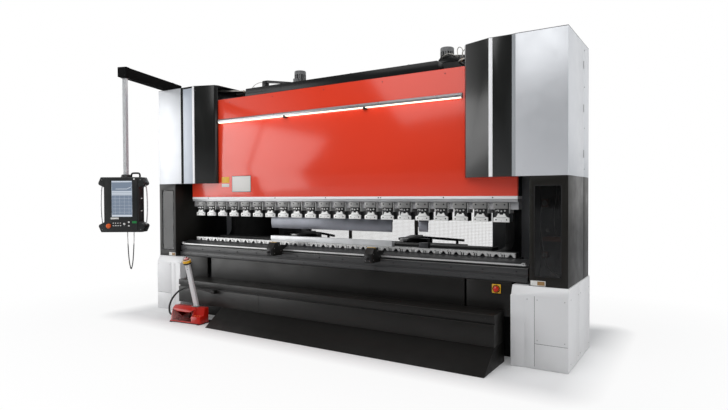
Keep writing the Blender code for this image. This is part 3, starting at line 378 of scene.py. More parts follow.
plastics = {
    "consoleBlack": {"colour": (0.017, 0.0185, 0.0185), "rough": 0.42},
    "bezelBlack": {"colour": (0.013, 0.015, 0.015), "rough": 0.30, "grainDepth": 0.04},
    "plugYellow": {"colour": (0.78, 0.42, 0.012), "rough": 0.34},
    "buttonRed": {"colour": (0.60, 0.022, 0.012), "rough": 0.30, "grainDepth": 0.03},
    "buttonOrange": {"colour": (0.80, 0.14, 0.03), "rough": 0.34, "grainDepth": 0.03},
    "buttonGreen": {"colour": (0.02, 0.22, 0.06), "rough": 0.34, "grainDepth": 0.03},
    "buttonWhite": {"colour": (0.72, 0.72, 0.70), "rough": 0.36, "grainDepth": 0.03},
    "valveBlue": {"colour": (0.02, 0.10, 0.32), "rough": 0.36},
    "cableBlack": {"colour": (0.011, 0.011, 0.011), "rough": 0.50},
    "rubberBlack": {"colour": (0.008, 0.008, 0.008), "rough": 0.62},
}
lamps = [
    ("lampWhite", (1.0, 0.86, 0.68), 1.8),
    ("screenBar", (0.50, 0.54, 0.59), 0.50),
    ("screenField", (0.16, 0.20, 0.26), 0.42),
]
materials = {}
for make, looks in ((sprayedPaint, paints), (groundSteel, steels), (mouldedPlastic, plastics)):
    materials.update({name: make(name, look) for name, look in looks.items()})
materials.update({name: glowing(name, *look) for name, *look in lamps})
materials["loopTwoTone"] = twoTone("loopTwoTone", (0.74, 0.74, 0.73), (0.009, 0.009, 0.009),
                                   (0.905, 0.935))
materials["paneDark"] = tintedPane("paneDark",
                                   {"colour": (0.005, 0.005, 0.005), "rough": 0.06, "cover": 0.45})
materials["screenLight"] = paneledScreen("screenLight", ((0.17, 0.20, 0.25), (0.31, 0.35, 0.40)), 0.50)

nodeLooks = {
    "frameBlack": "bed_plate ram_beam",
    "brightSteel": "die_rail_teeth slide_rail",
    "rodChrome": "cylinder_rod_left cylinder_rod_right",
    "railSteel": "die_rail",
    "poleSteel": "console_pole",
    "paneDark": "window_pane_left window_pane_right",
}


def dressNodes(looks):
    for material, names in looks.items():
        for name in names.split():
            item = frame["nodes"][name]
            item.data.materials.clear()
            item.data.materials.append(materials[material])


dressNodes(nodeLooks)
print("frame dressed")

# Making and placing pieces
toFront, toRear, toTop = (0.0, -1.0, 0.0), (0.0, 1.0, 0.0), (0.0, 0.0, 1.0)
bodyNodes = frame["record"]["behaviour"]["bodies"]
bodyOf = {node: body for body, nodes in bodyNodes.items() for node in nodes}


def addBlock(shape, first, second, matrix=None):
    size = [abs(a - b) for a, b in zip(first, second)]
    middle = [(a + b) / 2 for a, b in zip(first, second)]
    place = Matrix.Translation(middle) @ Matrix.Diagonal((*size, 1.0))
    if matrix:
        place = matrix @ place
    return bmesh.ops.create_cube(shape, size=1.0, matrix=place)["verts"]


def addRod(shape, start, end, radius, sides=16, tip=None, matrix=None):
    start, end = Vector(start), Vector(end)
    along = end - start
    turn = along.to_track_quat("Z", "Y").to_matrix().to_4x4()
    place = Matrix.Translation((start + end) / 2) @ turn
    if matrix:
        place = matrix @ place
    top = radius if tip is None else tip
    return bmesh.ops.create_cone(shape, cap_ends=True, segments=sides, radius1=radius, radius2=top,
                                 depth=along.length, matrix=place)["verts"]


def evenly(count, first, step):
    return [first + index * step for index in range(count)]


def towards(place, direction):
    turn = Vector(direction).to_track_quat("Z", "Y").to_matrix().to_4x4()
    return Matrix.Translation(place) @ turn


def addTurned(shape, outline, matrix=None, sides=20):
    # turned form: (radius, height) pairs spun about the upright axis
    known = set(shape.verts)
    verts = [shape.verts.new((radius, 0.0, height)) for radius, height in outline]
    edges = [shape.edges.new(pair) for pair in zip(verts, verts[1:])]
    bmesh.ops.spin(shape, geom=verts + edges, cent=(0.0, 0.0, 0.0), axis=(0.0, 0.0, 1.0),
                   dvec=(0.0, 0.0, 0.0), angle=2 * math.pi, steps=sides, use_merge=True)
    made = [vert for vert in shape.verts if vert not in known]
    bmesh.ops.remove_doubles(shape, verts=made, dist=0.00001)
    made = [vert for vert in shape.verts if vert not in known]
    if matrix:
        bmesh.ops.transform(shape, matrix=matrix, verts=made)
    return made


def addScrew(shape, place, direction, radius=0.006, height=0.005, matrix=None):
    # socket head screw
    outline = [(0.0, height * 0.35), (radius * 0.5, height * 0.35), (radius * 0.5, height),
               (radius * 0.84, height), (radius, height * 0.8), (radius, -0.001), (0.0, -0.001)]
    stand = towards(place, direction)
    addTurned(shape, outline, matrix @ stand if matrix else stand, 12)


def addProfile(shape, outline, axis, span, matrix=None):
    # flat outline pushed along an axis: (y, z) along x, (x, z) along y, (x, y) along z
    def place(a, b, c):
        return {"x": (c, a, b), "y": (a, c, b), "z": (a, b, c)}[axis]
    ring = [shape.verts.new(place(a, b, span[0])) for a, b in outline]
    face = shape.faces.new(ring)
    pushed = bmesh.ops.extrude_face_region(shape, geom=[face])["geom"]
    moved = [item for item in pushed if isinstance(item, bmesh.types.BMVert)]
    bmesh.ops.translate(shape, verts=moved, vec=place(0.0, 0.0, span[1] - span[0]))
    if matrix:
        bmesh.ops.transform(shape, matrix=matrix, verts=ring + moved)
    return ring + moved


def roundEdges(shape, radius, sharpest=0.6, segments=2):
    sharp = [edge for edge in shape.edges if edge.is_manifold and edge.calc_face_angle(0.0) > sharpest]
    bmesh.ops.bevel(shape, geom=sharp, offset=radius, offset_type="OFFSET", segments=segments,
                    profile=0.5,
                    affect="EDGES", material=-1, clamp_overlap=True)


def finishPiece(name, shape, material, body, smooth=35.0, bevel=0.0):
    bmesh.ops.recalc_face_normals(shape, faces=shape.faces)
    if bevel:
        roundEdges(shape, bevel)
    mesh = bpy.data.meshes.new(name)
    shape.to_mesh(mesh)
    shape.free()
    mesh.materials.append(materials[material])
    if smooth:
        mesh.shade_smooth()
        mesh.set_sharp_from_angle(angle=math.radians(smooth))
    piece = bpy.data.objects.new(name, mesh)
    scene.collection.objects.link(piece)
    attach(piece, body)
    return piece


def finishAll(body, rows, stands=None):
    # pieces of one body: name, shape, material, slot and, where edges are rounded, their radius
    for name, shape, material, slotName, *radius in rows:
        piece = finishPiece(name, shape, material, body, bevel=sum(radius))
        if stands:
            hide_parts(stands)


def curvePiece(name, routes, thick, material, body):
    curve = bpy.data.curves.new(name, "CURVE")
    curve.dimensions = "3D"
    curve.bevel_depth = thick / 2
    curve.bevel_resolution = 4
    curve.use_fill_caps = True
    for route in routes:
        spline = curve.splines.new("POLY")
        spline.points.add(len(route) - 1)
        for point, place in zip(spline.points, route):
            point.co = (*place, 1.0)
    curve.materials.append(materials[material])
    piece = bpy.data.objects.new(name, curve)
    scene.collection.objects.link(piece)
    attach(piece, body)
    return piece


def pieceName(node):
    words = node.split("_")
    return words[0] + "".join(word.capitalize() for word in words[1:]) + "Shell"


def softenNodes(looks):
    # each node's own solid again, with its hard edges rounded as sheet, plate or casting has them
    for material, radius, names in looks:
        for node in names.split():
            shape = bmesh.new()
            shape.from_mesh(frame["nodes"][node].data)
            bmesh.ops.remove_doubles(shape, verts=shape.verts, dist=0.00002)
            bmesh.ops.dissolve_limit(shape, angle_limit=0.01, verts=shape.verts, edges=shape.edges,
                                     use_dissolve_boundaries=False)
            roundEdges(shape, radius)
            piece = finishPiece(pieceName(node), shape, material, bodyOf[node])
            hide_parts(node)


# Foot switch cable and the loop under the console
def footCableRoute():
    facts = footSwitch
    reach = facts["wide"] / 2 - facts["glandSunk"] + facts["glandLong"] + facts["cableGap"]
    turn = math.radians(facts["turn"])
    along = Vector((math.cos(turn), math.sin(turn), 0.0))
    end = Vector((*facts["place"], facts["glandHigh"])) - along * reach
    points = [*footCable["points"], end - along * facts["glandRadius"] * 2, end]
    return softRoute(points, footCable["steps"])


def loopCableRoute():
    first, last = loopCable["legs"]
    top = consoleFace["low"] - 0.0003
    place = consoleMatrix()
    fall = [*loopCable["fall"], (0.5, 1.0)]
    fall += [(1.0 - across, down) for across, down in reversed(loopCable["fall"])]
    points = [place @ Vector((first + across * (last - first), 0.0, top - down * loopCable["drop"]))
              for across, down in fall]
    return softRoute(points, loopCable["steps"])


def makeCables():
    route = footCableRoute()
    conduit = curvePiece("footSwitchConduit", [route], footCable["thick"], "cableBlack", "frame")
    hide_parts("foot_switch_cord")
    route = loopCableRoute()
    loop = curvePiece("consoleLoopCable", [route], loopCable["thick"], "loopTwoTone", "console")
    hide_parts("console_loop_cord")


makeCables()
print("cables laid")

# Solids of the frame with rounded edges
softenNodes([
    ("panelRed", 0.003, "ram_panel"),
    ("coverSilver", 0.0018, "cover_silver_left cover_silver_right rear_cover_left rear_cover_right"),
    ("baseSilver", 0.005, "base_cover_left base_cover_right"),
    ("baseSilver", 0.003, "foot_stand"),
    ("coverBlack", 0.0018, "cover_wing_left cover_wing_right"),
    ("armBlack", 0.004, "console_arm"),
    ("beamGrey", 0.0015, "front_beam"),
    ("bodyAnthracite", 0.002, "apron_left apron_middle apron_right"),
    ("bodyAnthracite", 0.003, "lower_cover carriage_left carriage_right cord_gland"),
    ("skirtBlack", 0.003, "toe_skirt"),
    ("capBlack", 0.003, "ram_cap"),
    ("frameBlack", 0.004,
     "side_frame_left side_frame_right oil_tank cylinder_left cylinder_right gauge_bed"),
    ("cabinetGrey", 0.002, "side_cabinet_left side_cabinet_right"),
    ("motorGrey", 0.003, "rear_box_left rear_box_right"),
    ("topGrey", 0.003, "pump_unit_left pump_unit_right"),
    ("toolSteel", 0.0006, "punch"),
    ("dieSteel", 0.0010, "die"),
    ("rearSteel", 0.003, "gauge_beam gauge_finger_left gauge_finger_right"),
    ("plugYellow", 0.003, "main_switch_plate"),
    ("buttonRed", 0.002, "main_switch_knob"),
    ("switchRed", 0.004, "foot_switch"),
])
print("solids softened")

# Clamp beam and punch holders
clampBeam = {"half": 2.15, "low": 1.349, "lip": 1.425, "strip": 1.447, "top": 1.473, "front": -0.093,
             "lipFront": -0.089, "lowFront": -0.060, "back": 0.050,
             "bolts": (-1.85, -0.718, 0.018, 0.698, 0.726, 1.430, 1.92)}
holders = {"count": 21, "pitch": 0.200, "wide": 0.150, "low": 1.234, "front": -0.090,
           "back": 0.044, "waist": 1.315, "ledge": 1.357, "high": 1.414}


def crownPlate(shape, x):
    # lower plate of a holder: a wide foot that narrows in a stepped crown
    half = holders["wide"] / 2
    right = [(half, 0.0), (half, 0.040), (half * 0.62, 0.048), (half * 0.40, 0.079),
             (half * 0.26, 0.079), (half * 0.20, 0.068)]
    outline = right + [(-dx, dz) for dx, dz in reversed(right)]
    addProfile(shape, [(x + dx, holders["low"] + dz) for dx, dz in outline], "y",
               (holders["front"], holders["front"] + 0.014))


def makeClampBeam():
    facts = clampBeam
    beam, strip, bolts = bmesh.new(), bmesh.new(), bmesh.new()
    addBlock(beam, (-facts["half"], facts["lowFront"], facts["low"]),
             (facts["half"], facts["back"], facts["lip"]))
    addBlock(beam, (-facts["half"], facts["lipFront"], facts["lip"] - 0.004),
             (facts["half"], facts["back"], facts["strip"] - 0.001))
    addBlock(strip, (-facts["half"], facts["front"], facts["strip"]),
             (facts["half"], facts["back"], facts["top"]))
    for x in facts["bolts"]:
        addScrew(bolts, (x, facts["front"], (facts["strip"] + facts["top"]) / 2), toFront, 0.0062,
                 0.003)
    crowns, cores, caps, dark, bright, levers = (bmesh.new() for _ in range(6))
    first = -holders["pitch"] * (holders["count"] - 1) / 2
    half = holders["wide"] / 2
    front, low, ledge, high = (holders[key] for key in ("front", "low", "ledge", "high"))
    for index in range(holders["count"]):
        x = first + index * holders["pitch"]
        crownPlate(crowns, x)
        addBlock(cores, (x - half * 0.86, front + 0.016, low + 0.0015),
                 (x + half * 0.86, holders["back"], ledge))
        addBlock(cores, (x - half * 0.30, front + 0.004, low + 0.082),
                 (x + half * 0.30, front + 0.018, ledge - 0.004))
        addBlock(caps, (x - half, front, ledge), (x + half * 0.80, facts["lowFront"] + 0.002, high))
        addBlock(cores, (x + half * 0.80, front + 0.010, ledge),
                 (x + half * 0.94, facts["lowFront"], high - 0.003))
        addBlock(bright, (x + half * 0.94, front + 0.006, holders["waist"]),
                 (x + half, holders["back"], high - 0.002))
        addRod(levers, (x - half * 0.74, front + 0.008, ledge - 0.022),
               (x - half * 0.40, front + 0.008, ledge - 0.010),
               0.0045, 10)
        for side in (-1, 1):
            addScrew(dark, (x + side * half * 0.50 - half * 0.10, front, high - 0.020), toFront, 0.0075,
                     0.0022)
            addScrew(dark, (x + side * half * 0.66, front, low + 0.022), toFront, 0.0062, 0.0018)
            addRod(bright, (x + side * half * 0.40, front + 0.006, ledge - 0.018),
                   (x + side * half * 0.40, front + 0.018, ledge - 0.018), 0.0085, 14)
        addRod(bright, (x, front - 0.0005, ledge - 0.022), (x, front + 0.006, ledge - 0.022), 0.0075,
               14)
        addScrew(dark, (x, front, low + 0.012), toFront, 0.0030, 0.0012)
        addBlock(dark, (x - half * 0.62, front - 0.0006, low + 0.0405),
                 (x + half * 0.62, front + 0.004, low + 0.0425))
    finishAll("ram", [
        ("clampBeamBar", beam, "clampSteel", "bright_steel", 0.0015),
        ("clampBeamStrip", strip, "stripWhite", "white_strip", 0.001),
        ("clampBeamBolts", bolts, "screwDark", "frame_black"),
        ("holderCrowns", crowns, "crownSteel", "bright_steel", 0.0012),
        ("holderCores", cores, "holderBlack", "frame_black", 0.0012),
        ("holderCaps", caps, "capSteel", "bright_steel", 0.002),
        ("holderScrews", dark, "screwDark", "frame_black"),
        ("holderPins", bright, "brightSteel", "bright_steel"),
        ("holderLevers", levers, "brightSteel", "bright_steel"),
    ], "clamp_beam")


makeClampBeam()
print("punch holders made")

# Short sample segments of punch and die beside the main set
samples = {"punchSpan": (1.122, 1.222), "punchTop": 1.2337, "punchTip": 1.115, "punchHalf": 0.013,
           "dieSpan": (1.134, 1.234), "dieLow": 0.9533, "dieTop": 1.006, "dieHalf": 0.030,
           "groove": 0.0125}


def makeSamples():
    facts = samples
    punch, edge, die = bmesh.new(), bmesh.new(), bmesh.new()
    half, top, tip = facts["punchHalf"], facts["punchTop"], facts["punchTip"]
    addProfile(punch, [(-half, top), (-half, tip + 0.030), (-0.0015, tip), (0.0015, tip),
                       (half * 0.55, tip + 0.030), (half * 0.55, top - 0.035), (half, top - 0.025),
                       (half, top)], "x", facts["punchSpan"])
    addBlock(edge, (facts["punchSpan"][0] + 0.001, -half - 0.0012, top - 0.012),
             (facts["punchSpan"][1] - 0.001, -half + 0.002, top - 0.004))
    side, groove = facts["dieHalf"], facts["groove"]
    addProfile(die, [(-side, facts["dieLow"]), (side, facts["dieLow"]), (side, facts["dieTop"]),
                     (groove, facts["dieTop"]), (0.0, facts["dieTop"] - groove),
                     (-groove, facts["dieTop"]),
                     (-side, facts["dieTop"])], "x", facts["dieSpan"])
    finishAll("ram", [
        ("punchSample", punch, "toolSteel", "tool_steel", 0.0006),
        ("punchSampleEdge", edge, "screwDark", "tool_steel", 0.0004),
    ])
    finishPiece("dieSample", die, "railSteel", "frame", bevel=0.001)


makeSamples()

# Ram panel: bare plates and fixings
ramPanel = {"front": -0.093, "plates": (
    ("panelPlateYellow", "plateYellow", "white_strip", 0.0014, (-1.600, 1.650), (-1.470, 1.724)),
    ("panelPlateWhite", "plateWhite", "white_strip", 0.0014, (-1.600, 1.598), (-1.470, 1.640)),
    ("panelPlateFrame", "screwDark", "frame_black", 0.0014, (-1.422, 1.533), (-1.102, 1.734)),
    ("panelPlateLarge", "plateWhite", "white_strip", 0.0022, (-1.416, 1.539), (-1.108, 1.728))),
            "rivetX": (-1.404, -1.120), "rivetZ": (1.551, 1.716),
            "topScrews": (-1.45, -0.75, 0.0, 0.75, 1.45), "topLine": 2.655,
            "sideScrews": (-2.08, -1.95, 1.95, 2.08), "sideLine": 1.88}


def makeRamPanel():
    facts = ramPanel
    front = facts["front"]
    for name, material, slotName, rise, low, high in facts["plates"]:
        plate = bmesh.new()
        addBlock(plate, (low[0], front - rise, low[1]), (high[0], front + 0.001, high[1]))
        finishPiece(name, plate, material, "ram", bevel=0.0006)
    rivets, screws = bmesh.new(), bmesh.new()
    for z in facts["rivetZ"]:
        for x in facts["rivetX"]:
            addRod(rivets, (x, front - 0.0034, z), (x, front - 0.002, z), 0.0035, 12, 0.0042)
    for line, places in (("topLine", "topScrews"), ("sideLine", "sideScrews")):
        for x in facts[places]:
            addScrew(screws, (x, front, facts[line]), toFront, 0.007, 0.003)
    finishAll("ram", [
        ("panelRivets", rivets, "brightSteel", "bright_steel"),
        ("panelScrews", screws, "panelEdgeRed", "red_paint"),
    ])


makeRamPanel()

# Light bar
lightBar = {"half": 1.630, "low": 2.400, "high": 2.450, "back": -0.0933, "front": -0.1253,
            "clips": (-0.546, 0.546), "clipWide": 0.045}


def makeLightBar():
    facts = lightBar
    half, front, back, low, high = (facts[key] for key in ("half", "front", "back", "low", "high"))
    channel, lens, caps, clips, screws = (bmesh.new() for _ in range(5))
    addProfile(channel,
               [(back, low + 0.009), (back, high), (front + 0.012, high), (front, high - 0.016),
                (front, low + 0.009)], "x", (-half + 0.008, half - 0.008))
    addProfile(lens, [(back - 0.001, low), (back - 0.001, low + 0.009), (front + 0.001, low + 0.009),
                      (front + 0.001, low + 0.005), (front + 0.005, low)], "x",
               (-half + 0.008, half - 0.008))
    for side in (-1, 1):
        addProfile(caps, [(back, low), (back, high), (front + 0.012, high), (front, high - 0.016),
                          (front, low + 0.010), (front + 0.006, low)], "x",
                   (side * (half - 0.008), side * half))
        addScrew(screws, (side * half, (front + back) / 2, low + 0.026), (side, 0.0, 0.0), 0.004,
                 0.0015)
    for x in facts["clips"]:
        wide = facts["clipWide"] / 2
        addBlock(clips, (x - wide, front + 0.004, low - 0.014), (x + wide, back, low + 0.004))
        addBlock(clips, (x - wide * 0.6, front - 0.0012, low - 0.004),
                 (x + wide * 0.6, front + 0.006, low + 0.014))
        addScrew(screws, (x, front + 0.004, low - 0.007), toFront, 0.004, 0.002)
    finishAll("ram", [
        ("lightBarChannel", channel, "channelSilver", "white_strip", 0.0015),
        ("lightBarLens", lens, "lampWhite", "white_strip", 0.0006),
        ("lightBarCaps", caps, "plateGrey", "white_strip", 0.001),
        ("lightBarClips", clips, "holderBlack", "frame_black", 0.001),
        ("lightBarScrews", screws, "screwDark", "frame_black"),
    ], "light_bar")


makeLightBar()

# Top of the ram: bracket, wire, screws and seams of the cap
ramCap = {"low": 2.7003, "top": 2.7903, "front": -0.093, "back": 0.050, "seams": (-0.62, 0.10, 0.82),
          "seamWide": 0.0025, "screwX": (-1.05, -0.35, 0.35, 1.05), "screwY": (-0.078, 0.034)}


def makeRamCap():
    facts = ramCap
    bracket, screws, seams = bmesh.new(), bmesh.new(), bmesh.new()
    front, top = facts["front"], facts["top"]
    addBlock(bracket, (-0.953, -0.045, top - 0.002), (-0.890, 0.010, top + 0.068))
    addProfile(bracket, [(-0.953, top + 0.060), (-0.953, top + 0.078), (-0.880, top + 0.078),
                         (-0.505, top + 0.016), (-0.505, top), (-0.520, top)], "y", (-0.040, 0.005))
    for x in facts["screwX"]:
        for y in facts["screwY"]:
            addScrew(screws, (x, y, top), toTop, 0.007, 0.005)
    for x in facts["seams"]:
        end = x + facts["seamWide"]
        addBlock(seams, (x, front - 0.0006, facts["low"] + 0.004), (end, front + 0.001, top - 0.003))
        addBlock(seams, (x, front + 0.002, top - 0.001), (end, facts["back"] - 0.002, top + 0.0004))
    finishAll("ram", [
        ("capBracket", bracket, "holderBlack", "frame_black", 0.0015),
        ("capScrews", screws, "screwDark", "frame_black"),
        ("capSeams", seams, "frameBlack", "frame_black"),
    ])
    wire = softRoute([(-1.150, -0.020, top - 0.002), (-1.130, -0.020, top + 0.024),
                      (-1.085, -0.020, top + 0.052),
                      (-1.020, -0.020, top + 0.068), (-0.950, -0.020, top + 0.066)], 5)
    curvePiece("capWire", [wire], 0.007, "pipeSteel", "ram")


makeRamCap()
print("ram dressed")

# Upper covers, cabinets and base covers
covers = {"outer": 2.618, "black": -0.237, "low": 1.646, "wallTop": 2.8807, "top": 2.885,
          "strip": (1.9335, 1.9685), "joint": (0.4004, 0.4096), "rear": 0.654,
          "sideScrews": (1.72, 2.10, 2.48, 2.82), "hinges": (1.86, 2.28, 2.68), "hingeHalf": 0.035,
          "lidX": (2.00, 2.30, 2.58), "lidY": (-0.17, 0.36, 0.62)}


def makeCoverTrim():
    facts = covers
    strips, seams, screws, hinges = (bmesh.new() for _ in range(4))
    for side in (-1, 1):
        outer = side * facts["outer"]
        addBlock(strips, (side * facts["strip"][0], facts["black"] - 0.0040, facts["low"] + 0.0005),
                 (side * facts["strip"][1], facts["black"] + 0.0004, facts["wallTop"]))
        addBlock(seams, (outer - side * 0.0040, facts["joint"][0], facts["low"] + 0.002),
                 (outer - side * 0.0012, facts["joint"][1], facts["wallTop"] - 0.002))
        for z in facts["sideScrews"]:
            addScrew(screws, (outer, 0.430, z), (side, 0.0, 0.0), 0.006, 0.0026)
            addScrew(screws, (side * 2.30, facts["rear"], z), toRear, 0.006, 0.0026)
        for x in facts["lidX"]:
            for y in facts["lidY"]:
                addScrew(screws, (side * x, y, facts["top"]), toTop, 0.006, 0.0026)
        for z in facts["hinges"]:
            reach, x = facts["hingeHalf"], outer + side * 0.0005
            addRod(hinges, (x, 0.396, z - reach), (x, 0.396, z + reach), 0.0045, 12)
    # folds beside the silver fronts: the left one in glossy black as painted shadow, the right one in
    # grey as painted partial shade; and on the left cover a pale flat band, a painted reflection of the
    # light from the left
    folds, reflectionBand = {-1: bmesh.new(), 1: bmesh.new()}, bmesh.new()
    for side, fold in folds.items():
        addProfile(fold, [(side * 2.1436, -0.2368), (side * 2.1772, -0.2466), (side * 2.1769, -0.2478),
                          (side * 2.1432, -0.2382)], "z", (facts["low"] + 0.001, facts["wallTop"]))
    # band on the left cover only: a painted reflection
    addBlock(reflectionBand, (-2.1424, facts["black"] - 0.0014, facts["low"] + 0.001),
             (-1.9690, facts["black"] + 0.0004, 2.862))
    # left fold in glossy black as painted shadow, right fold in grey as painted partial shade
    finishPiece("coverFoldLeftPaintedShadow", folds[-1], "coverBlack", "frame")
    finishPiece("coverFoldRightPaintedShade", folds[1], "foldPaintedShadeGrey", "frame")
    finishAll("frame", [
        ("coverBandLeftPaintedReflection", reflectionBand, "bandSilver", "cover_silver", 0.0006),
        ("coverStrips", strips, "stripBright", "white_strip", 0.001),
        ("coverJointStrips", seams, "stripWhite", "white_strip", 0.0006),
        ("coverScrews", screws, "capSteel", "bright_steel"),
        ("coverHinges", hinges, "plateGrey", "bright_steel", 0.0006),
    ])


makeCoverTrim()

cabinets = {"front": -0.247, "window": (2.338, 2.567, 0.780, 1.566), "gasket": 0.007}


def makeCabinets():
    facts = cabinets
    x0, x1, z0, z1 = facts["window"]
    gaskets, locks, plates, tans = (bmesh.new() for _ in range(4))
    for side in (-1, 1):
        front = facts["front"]
        wide = facts["gasket"]
        for low, high in (((x0, z0), (x0 + wide, z1)), ((x1 - wide, z0), (x1, z1)),
                          ((x0, z0), (x1, z0 + wide)), ((x0, z1 - wide), (x1, z1))):
            addBlock(gaskets, (side * low[0], front - 0.0016, low[1]),
                     (side * high[0], front + 0.0034, high[1]))
        for z in (0.86, 1.48):
            addTurned(locks,
                      [(0.0, 0.004), (0.011, 0.004), (0.012, 0.003), (0.012, -0.001), (0.0, -0.001)],
                      towards((side * 2.318, front, z), toFront), 16)
        addBlock(plates, (side * 2.308, front - 0.0014, 0.704), (side * 2.434, front + 0.001, 0.748))
        addBlock(tans, (side * (2.366 if side > 0 else 2.376), front - 0.0022, 0.709),
                 (side * (2.428 if side > 0 else 2.314), front, 0.743))
    finishAll("frame", [
        ("windowGaskets", gaskets, "rubberBlack", "rubber", 0.0008),
        ("cabinetLocks", locks, "screwDark", "frame_black"),
        ("cabinetPlates", plates, "plateWhite", "white_strip", 0.0005),
        ("cabinetPlateFields", tans, "plateTan", "yellow", 0.0004),
    ])


makeCabinets()


cabinetInsides = {
    "knobs": ((2.374, -0.030, 1.41, 1.2), (2.375, -0.036, 0.95, 1.0), (2.386, 0.030, 1.165, 0.9)),
    "pipes": (((2.46, 0.058, 1.60), (2.46, 0.01, 1.45), (2.45, 0.0, 1.25), (2.46, 0.02, 1.113)),
              ((2.374, 0.0, 0.925), (2.380, -0.01, 0.86), (2.42, 0.0, 0.80), (2.50, 0.02, 0.76),
               (2.52, 0.058, 0.73)),
              ((2.345, 0.02, 1.41), (2.325, 0.01, 1.30), (2.330, 0.0, 1.18), (2.352, 0.01, 1.00),
               (2.360, 0.02, 0.975)))}


def makeCabinetInsides():
    # valves, pipes and a copper rail that show through the windows
    facts = cabinetInsides
    backs, rails, valves, knobs, blues = (bmesh.new() for _ in range(5))
    for side in (-1, 1):
        addBlock(backs, (side * 2.3105, 0.060, 0.716), (side * 2.600, 0.072, 1.630))
        addBlock(rails, (side * 2.373, -0.112, 1.078), (side * 2.545, 0.061, 1.113))
        addBlock(valves, (side * 2.345, -0.030, 1.372), (side * 2.402, 0.061, 1.448))
        addBlock(valves, (side * 2.352, -0.036, 0.925), (side * 2.398, 0.061, 0.975))
        for x, y, z, size in facts["knobs"]:
            addTurned(knobs,
                      [(0.0, 0.030), (0.010, 0.030), (0.012, 0.027), (0.012, 0.014), (0.019, 0.012),
                       (0.019, 0.0), (0.0, 0.0)],
                      towards((side * x, y, z), toFront) @ Matrix.Scale(size, 4), 18)
    addTurned(blues, [(0.0, 0.060), (0.018, 0.058), (0.022, 0.050), (0.022, 0.0), (0.0, 0.0)],
              towards((-2.335, -0.070, 1.075), toFront), 20)
    pipes = [mirroredRoute(points, side) for side in (-1, 1) for points in facts["pipes"]]
    finishAll("frame", [
        ("cabinetBackPlates", backs, "rearSteel", "frame_black", 0.001),
        ("cabinetRails", rails, "copperRed", "bright_steel", 0.002),
        ("cabinetValves", valves, "copperRed", "bright_steel", 0.002),
        ("cabinetKnobs", knobs, "pipeSteel", "bright_steel"),
        ("cabinetBlueValve", blues, "valveBlue", "rubber"),
    ])
    curvePiece("cabinetPipes", pipes, 0.010, "pipeSteel", "frame")


makeCabinetInsides()

bases = {"outer": 2.630, "front": -0.285, "fold": 2.268, "door": 2.352, "line": 0.215, "bevel": 0.620,
         "seam": 0.152, "rear": 0.655, "top": 0.690, "thick": 0.0012, "floor": 0.020,
         "feet": (-0.20, 0.56),
         "sideScrewY": (-0.20, 0.10, 0.20, 0.60), "sideScrewZ": (0.06, 0.60),
         "doorScrews": ((2.375, 0.590), (2.600, 0.590), (2.375, 0.245), (2.600, 0.245), (2.290, 0.590))}


def makeBaseTrim():
    facts = bases
    skins, lines, feet, bolts = (bmesh.new() for _ in range(4))
    proud = facts["thick"]
    front, outer, line, bevel, floor = (facts[key] for key in ("front", "outer", "line", "bevel",
                                                               "floor"))
    for side in (-1, 1):
        leaf, edge = facts["door"] + 0.0015, outer - 0.006
        for x, z in (((facts["fold"], facts["door"] - 0.0015), (floor, bevel)),
                     ((leaf, edge), (floor, line - 0.0015)), ((leaf, edge), (line + 0.0015, bevel))):
            addBlock(skins, (side * x[0], front - proud, z[0]), (side * x[1], front + 0.0005, z[1]))
        # black strips in the door seams and the side seam: painted shade in the gaps between the silver
        # plates
        addBlock(lines, (side * (facts["door"] - 0.0016), front - 0.0004, floor),
                 (side * (facts["door"] + 0.0016), front + 0.0005, bevel))
        addBlock(lines, (side * facts["door"], front - 0.0004, line - 0.0016),
                 (side * edge, front + 0.0005, line + 0.0016))
        for low, high in ((-0.238, facts["seam"] - 0.002),
                          (facts["seam"] + 0.002, facts["rear"] - 0.006)):
            addBlock(skins, (side * (outer + proud), low, floor),
                     (side * (outer - 0.0005), high, facts["top"]))
        addBlock(lines, (side * (outer + 0.0004), facts["seam"] - 0.002, floor),
                 (side * (outer - 0.0005), facts["seam"] + 0.002, facts["top"]))
        for y in facts["feet"]:
            addTurned(feet,
                      [(0.0, 0.010), (0.030, 0.010), (0.034, 0.006), (0.034, 0.0005), (0.0, 0.0005)],
                      Matrix.Translation((side * 2.20, y, 0.0)), 20)
        for z in facts["sideScrewZ"]:
            for y in facts["sideScrewY"]:
                addScrew(bolts, (side * (outer + proud), y, z), (side, 0.0, 0.0), 0.005, 0.002)
        for x, z in facts["doorScrews"]:
            addScrew(bolts, (side * x, front - proud, z), toFront, 0.0045, 0.0016)
    finishAll("frame", [
        ("baseSkins", skins, "baseSilver", "cover_silver", 0.0005),
        ("baseSeams", lines, "frameBlack", "frame_black"),
        ("baseFeet", feet, "screwDark", "frame_black"),
        ("baseBolts", bolts, "plateGrey", "bright_steel"),
    ])


makeBaseTrim()
print("covers trimmed")

# Front of the bed: screws, seams, rail stops and the main switch
bedFront = {"railFront": -0.055, "railHigh": 0.940, "module": 0.1325, "count": 32, "beamFace": -0.190,
            "beamLine": 0.806, "beamFoot": -0.200, "footLine": 0.738, "apron": -0.220, "cover": -0.490,
            "coverSpan": (-1.95, 2.07), "seams": (-0.62, 0.74), "switch": (2.00, 0.645),
            "switchScrew": 0.031,
            "beamScrews": (15, -2.17, 0.31),
            "apronX": (-2.10, -1.76, -1.64, -0.90, -0.20, 0.50, 1.20, 1.67,
                       1.74, 2.11), "apronZ": (0.470, 0.690),
            "coverScrews": (9, 0.430, 0.215), "seamParts": ((0.188, 0.376), (0.394, 0.457))}


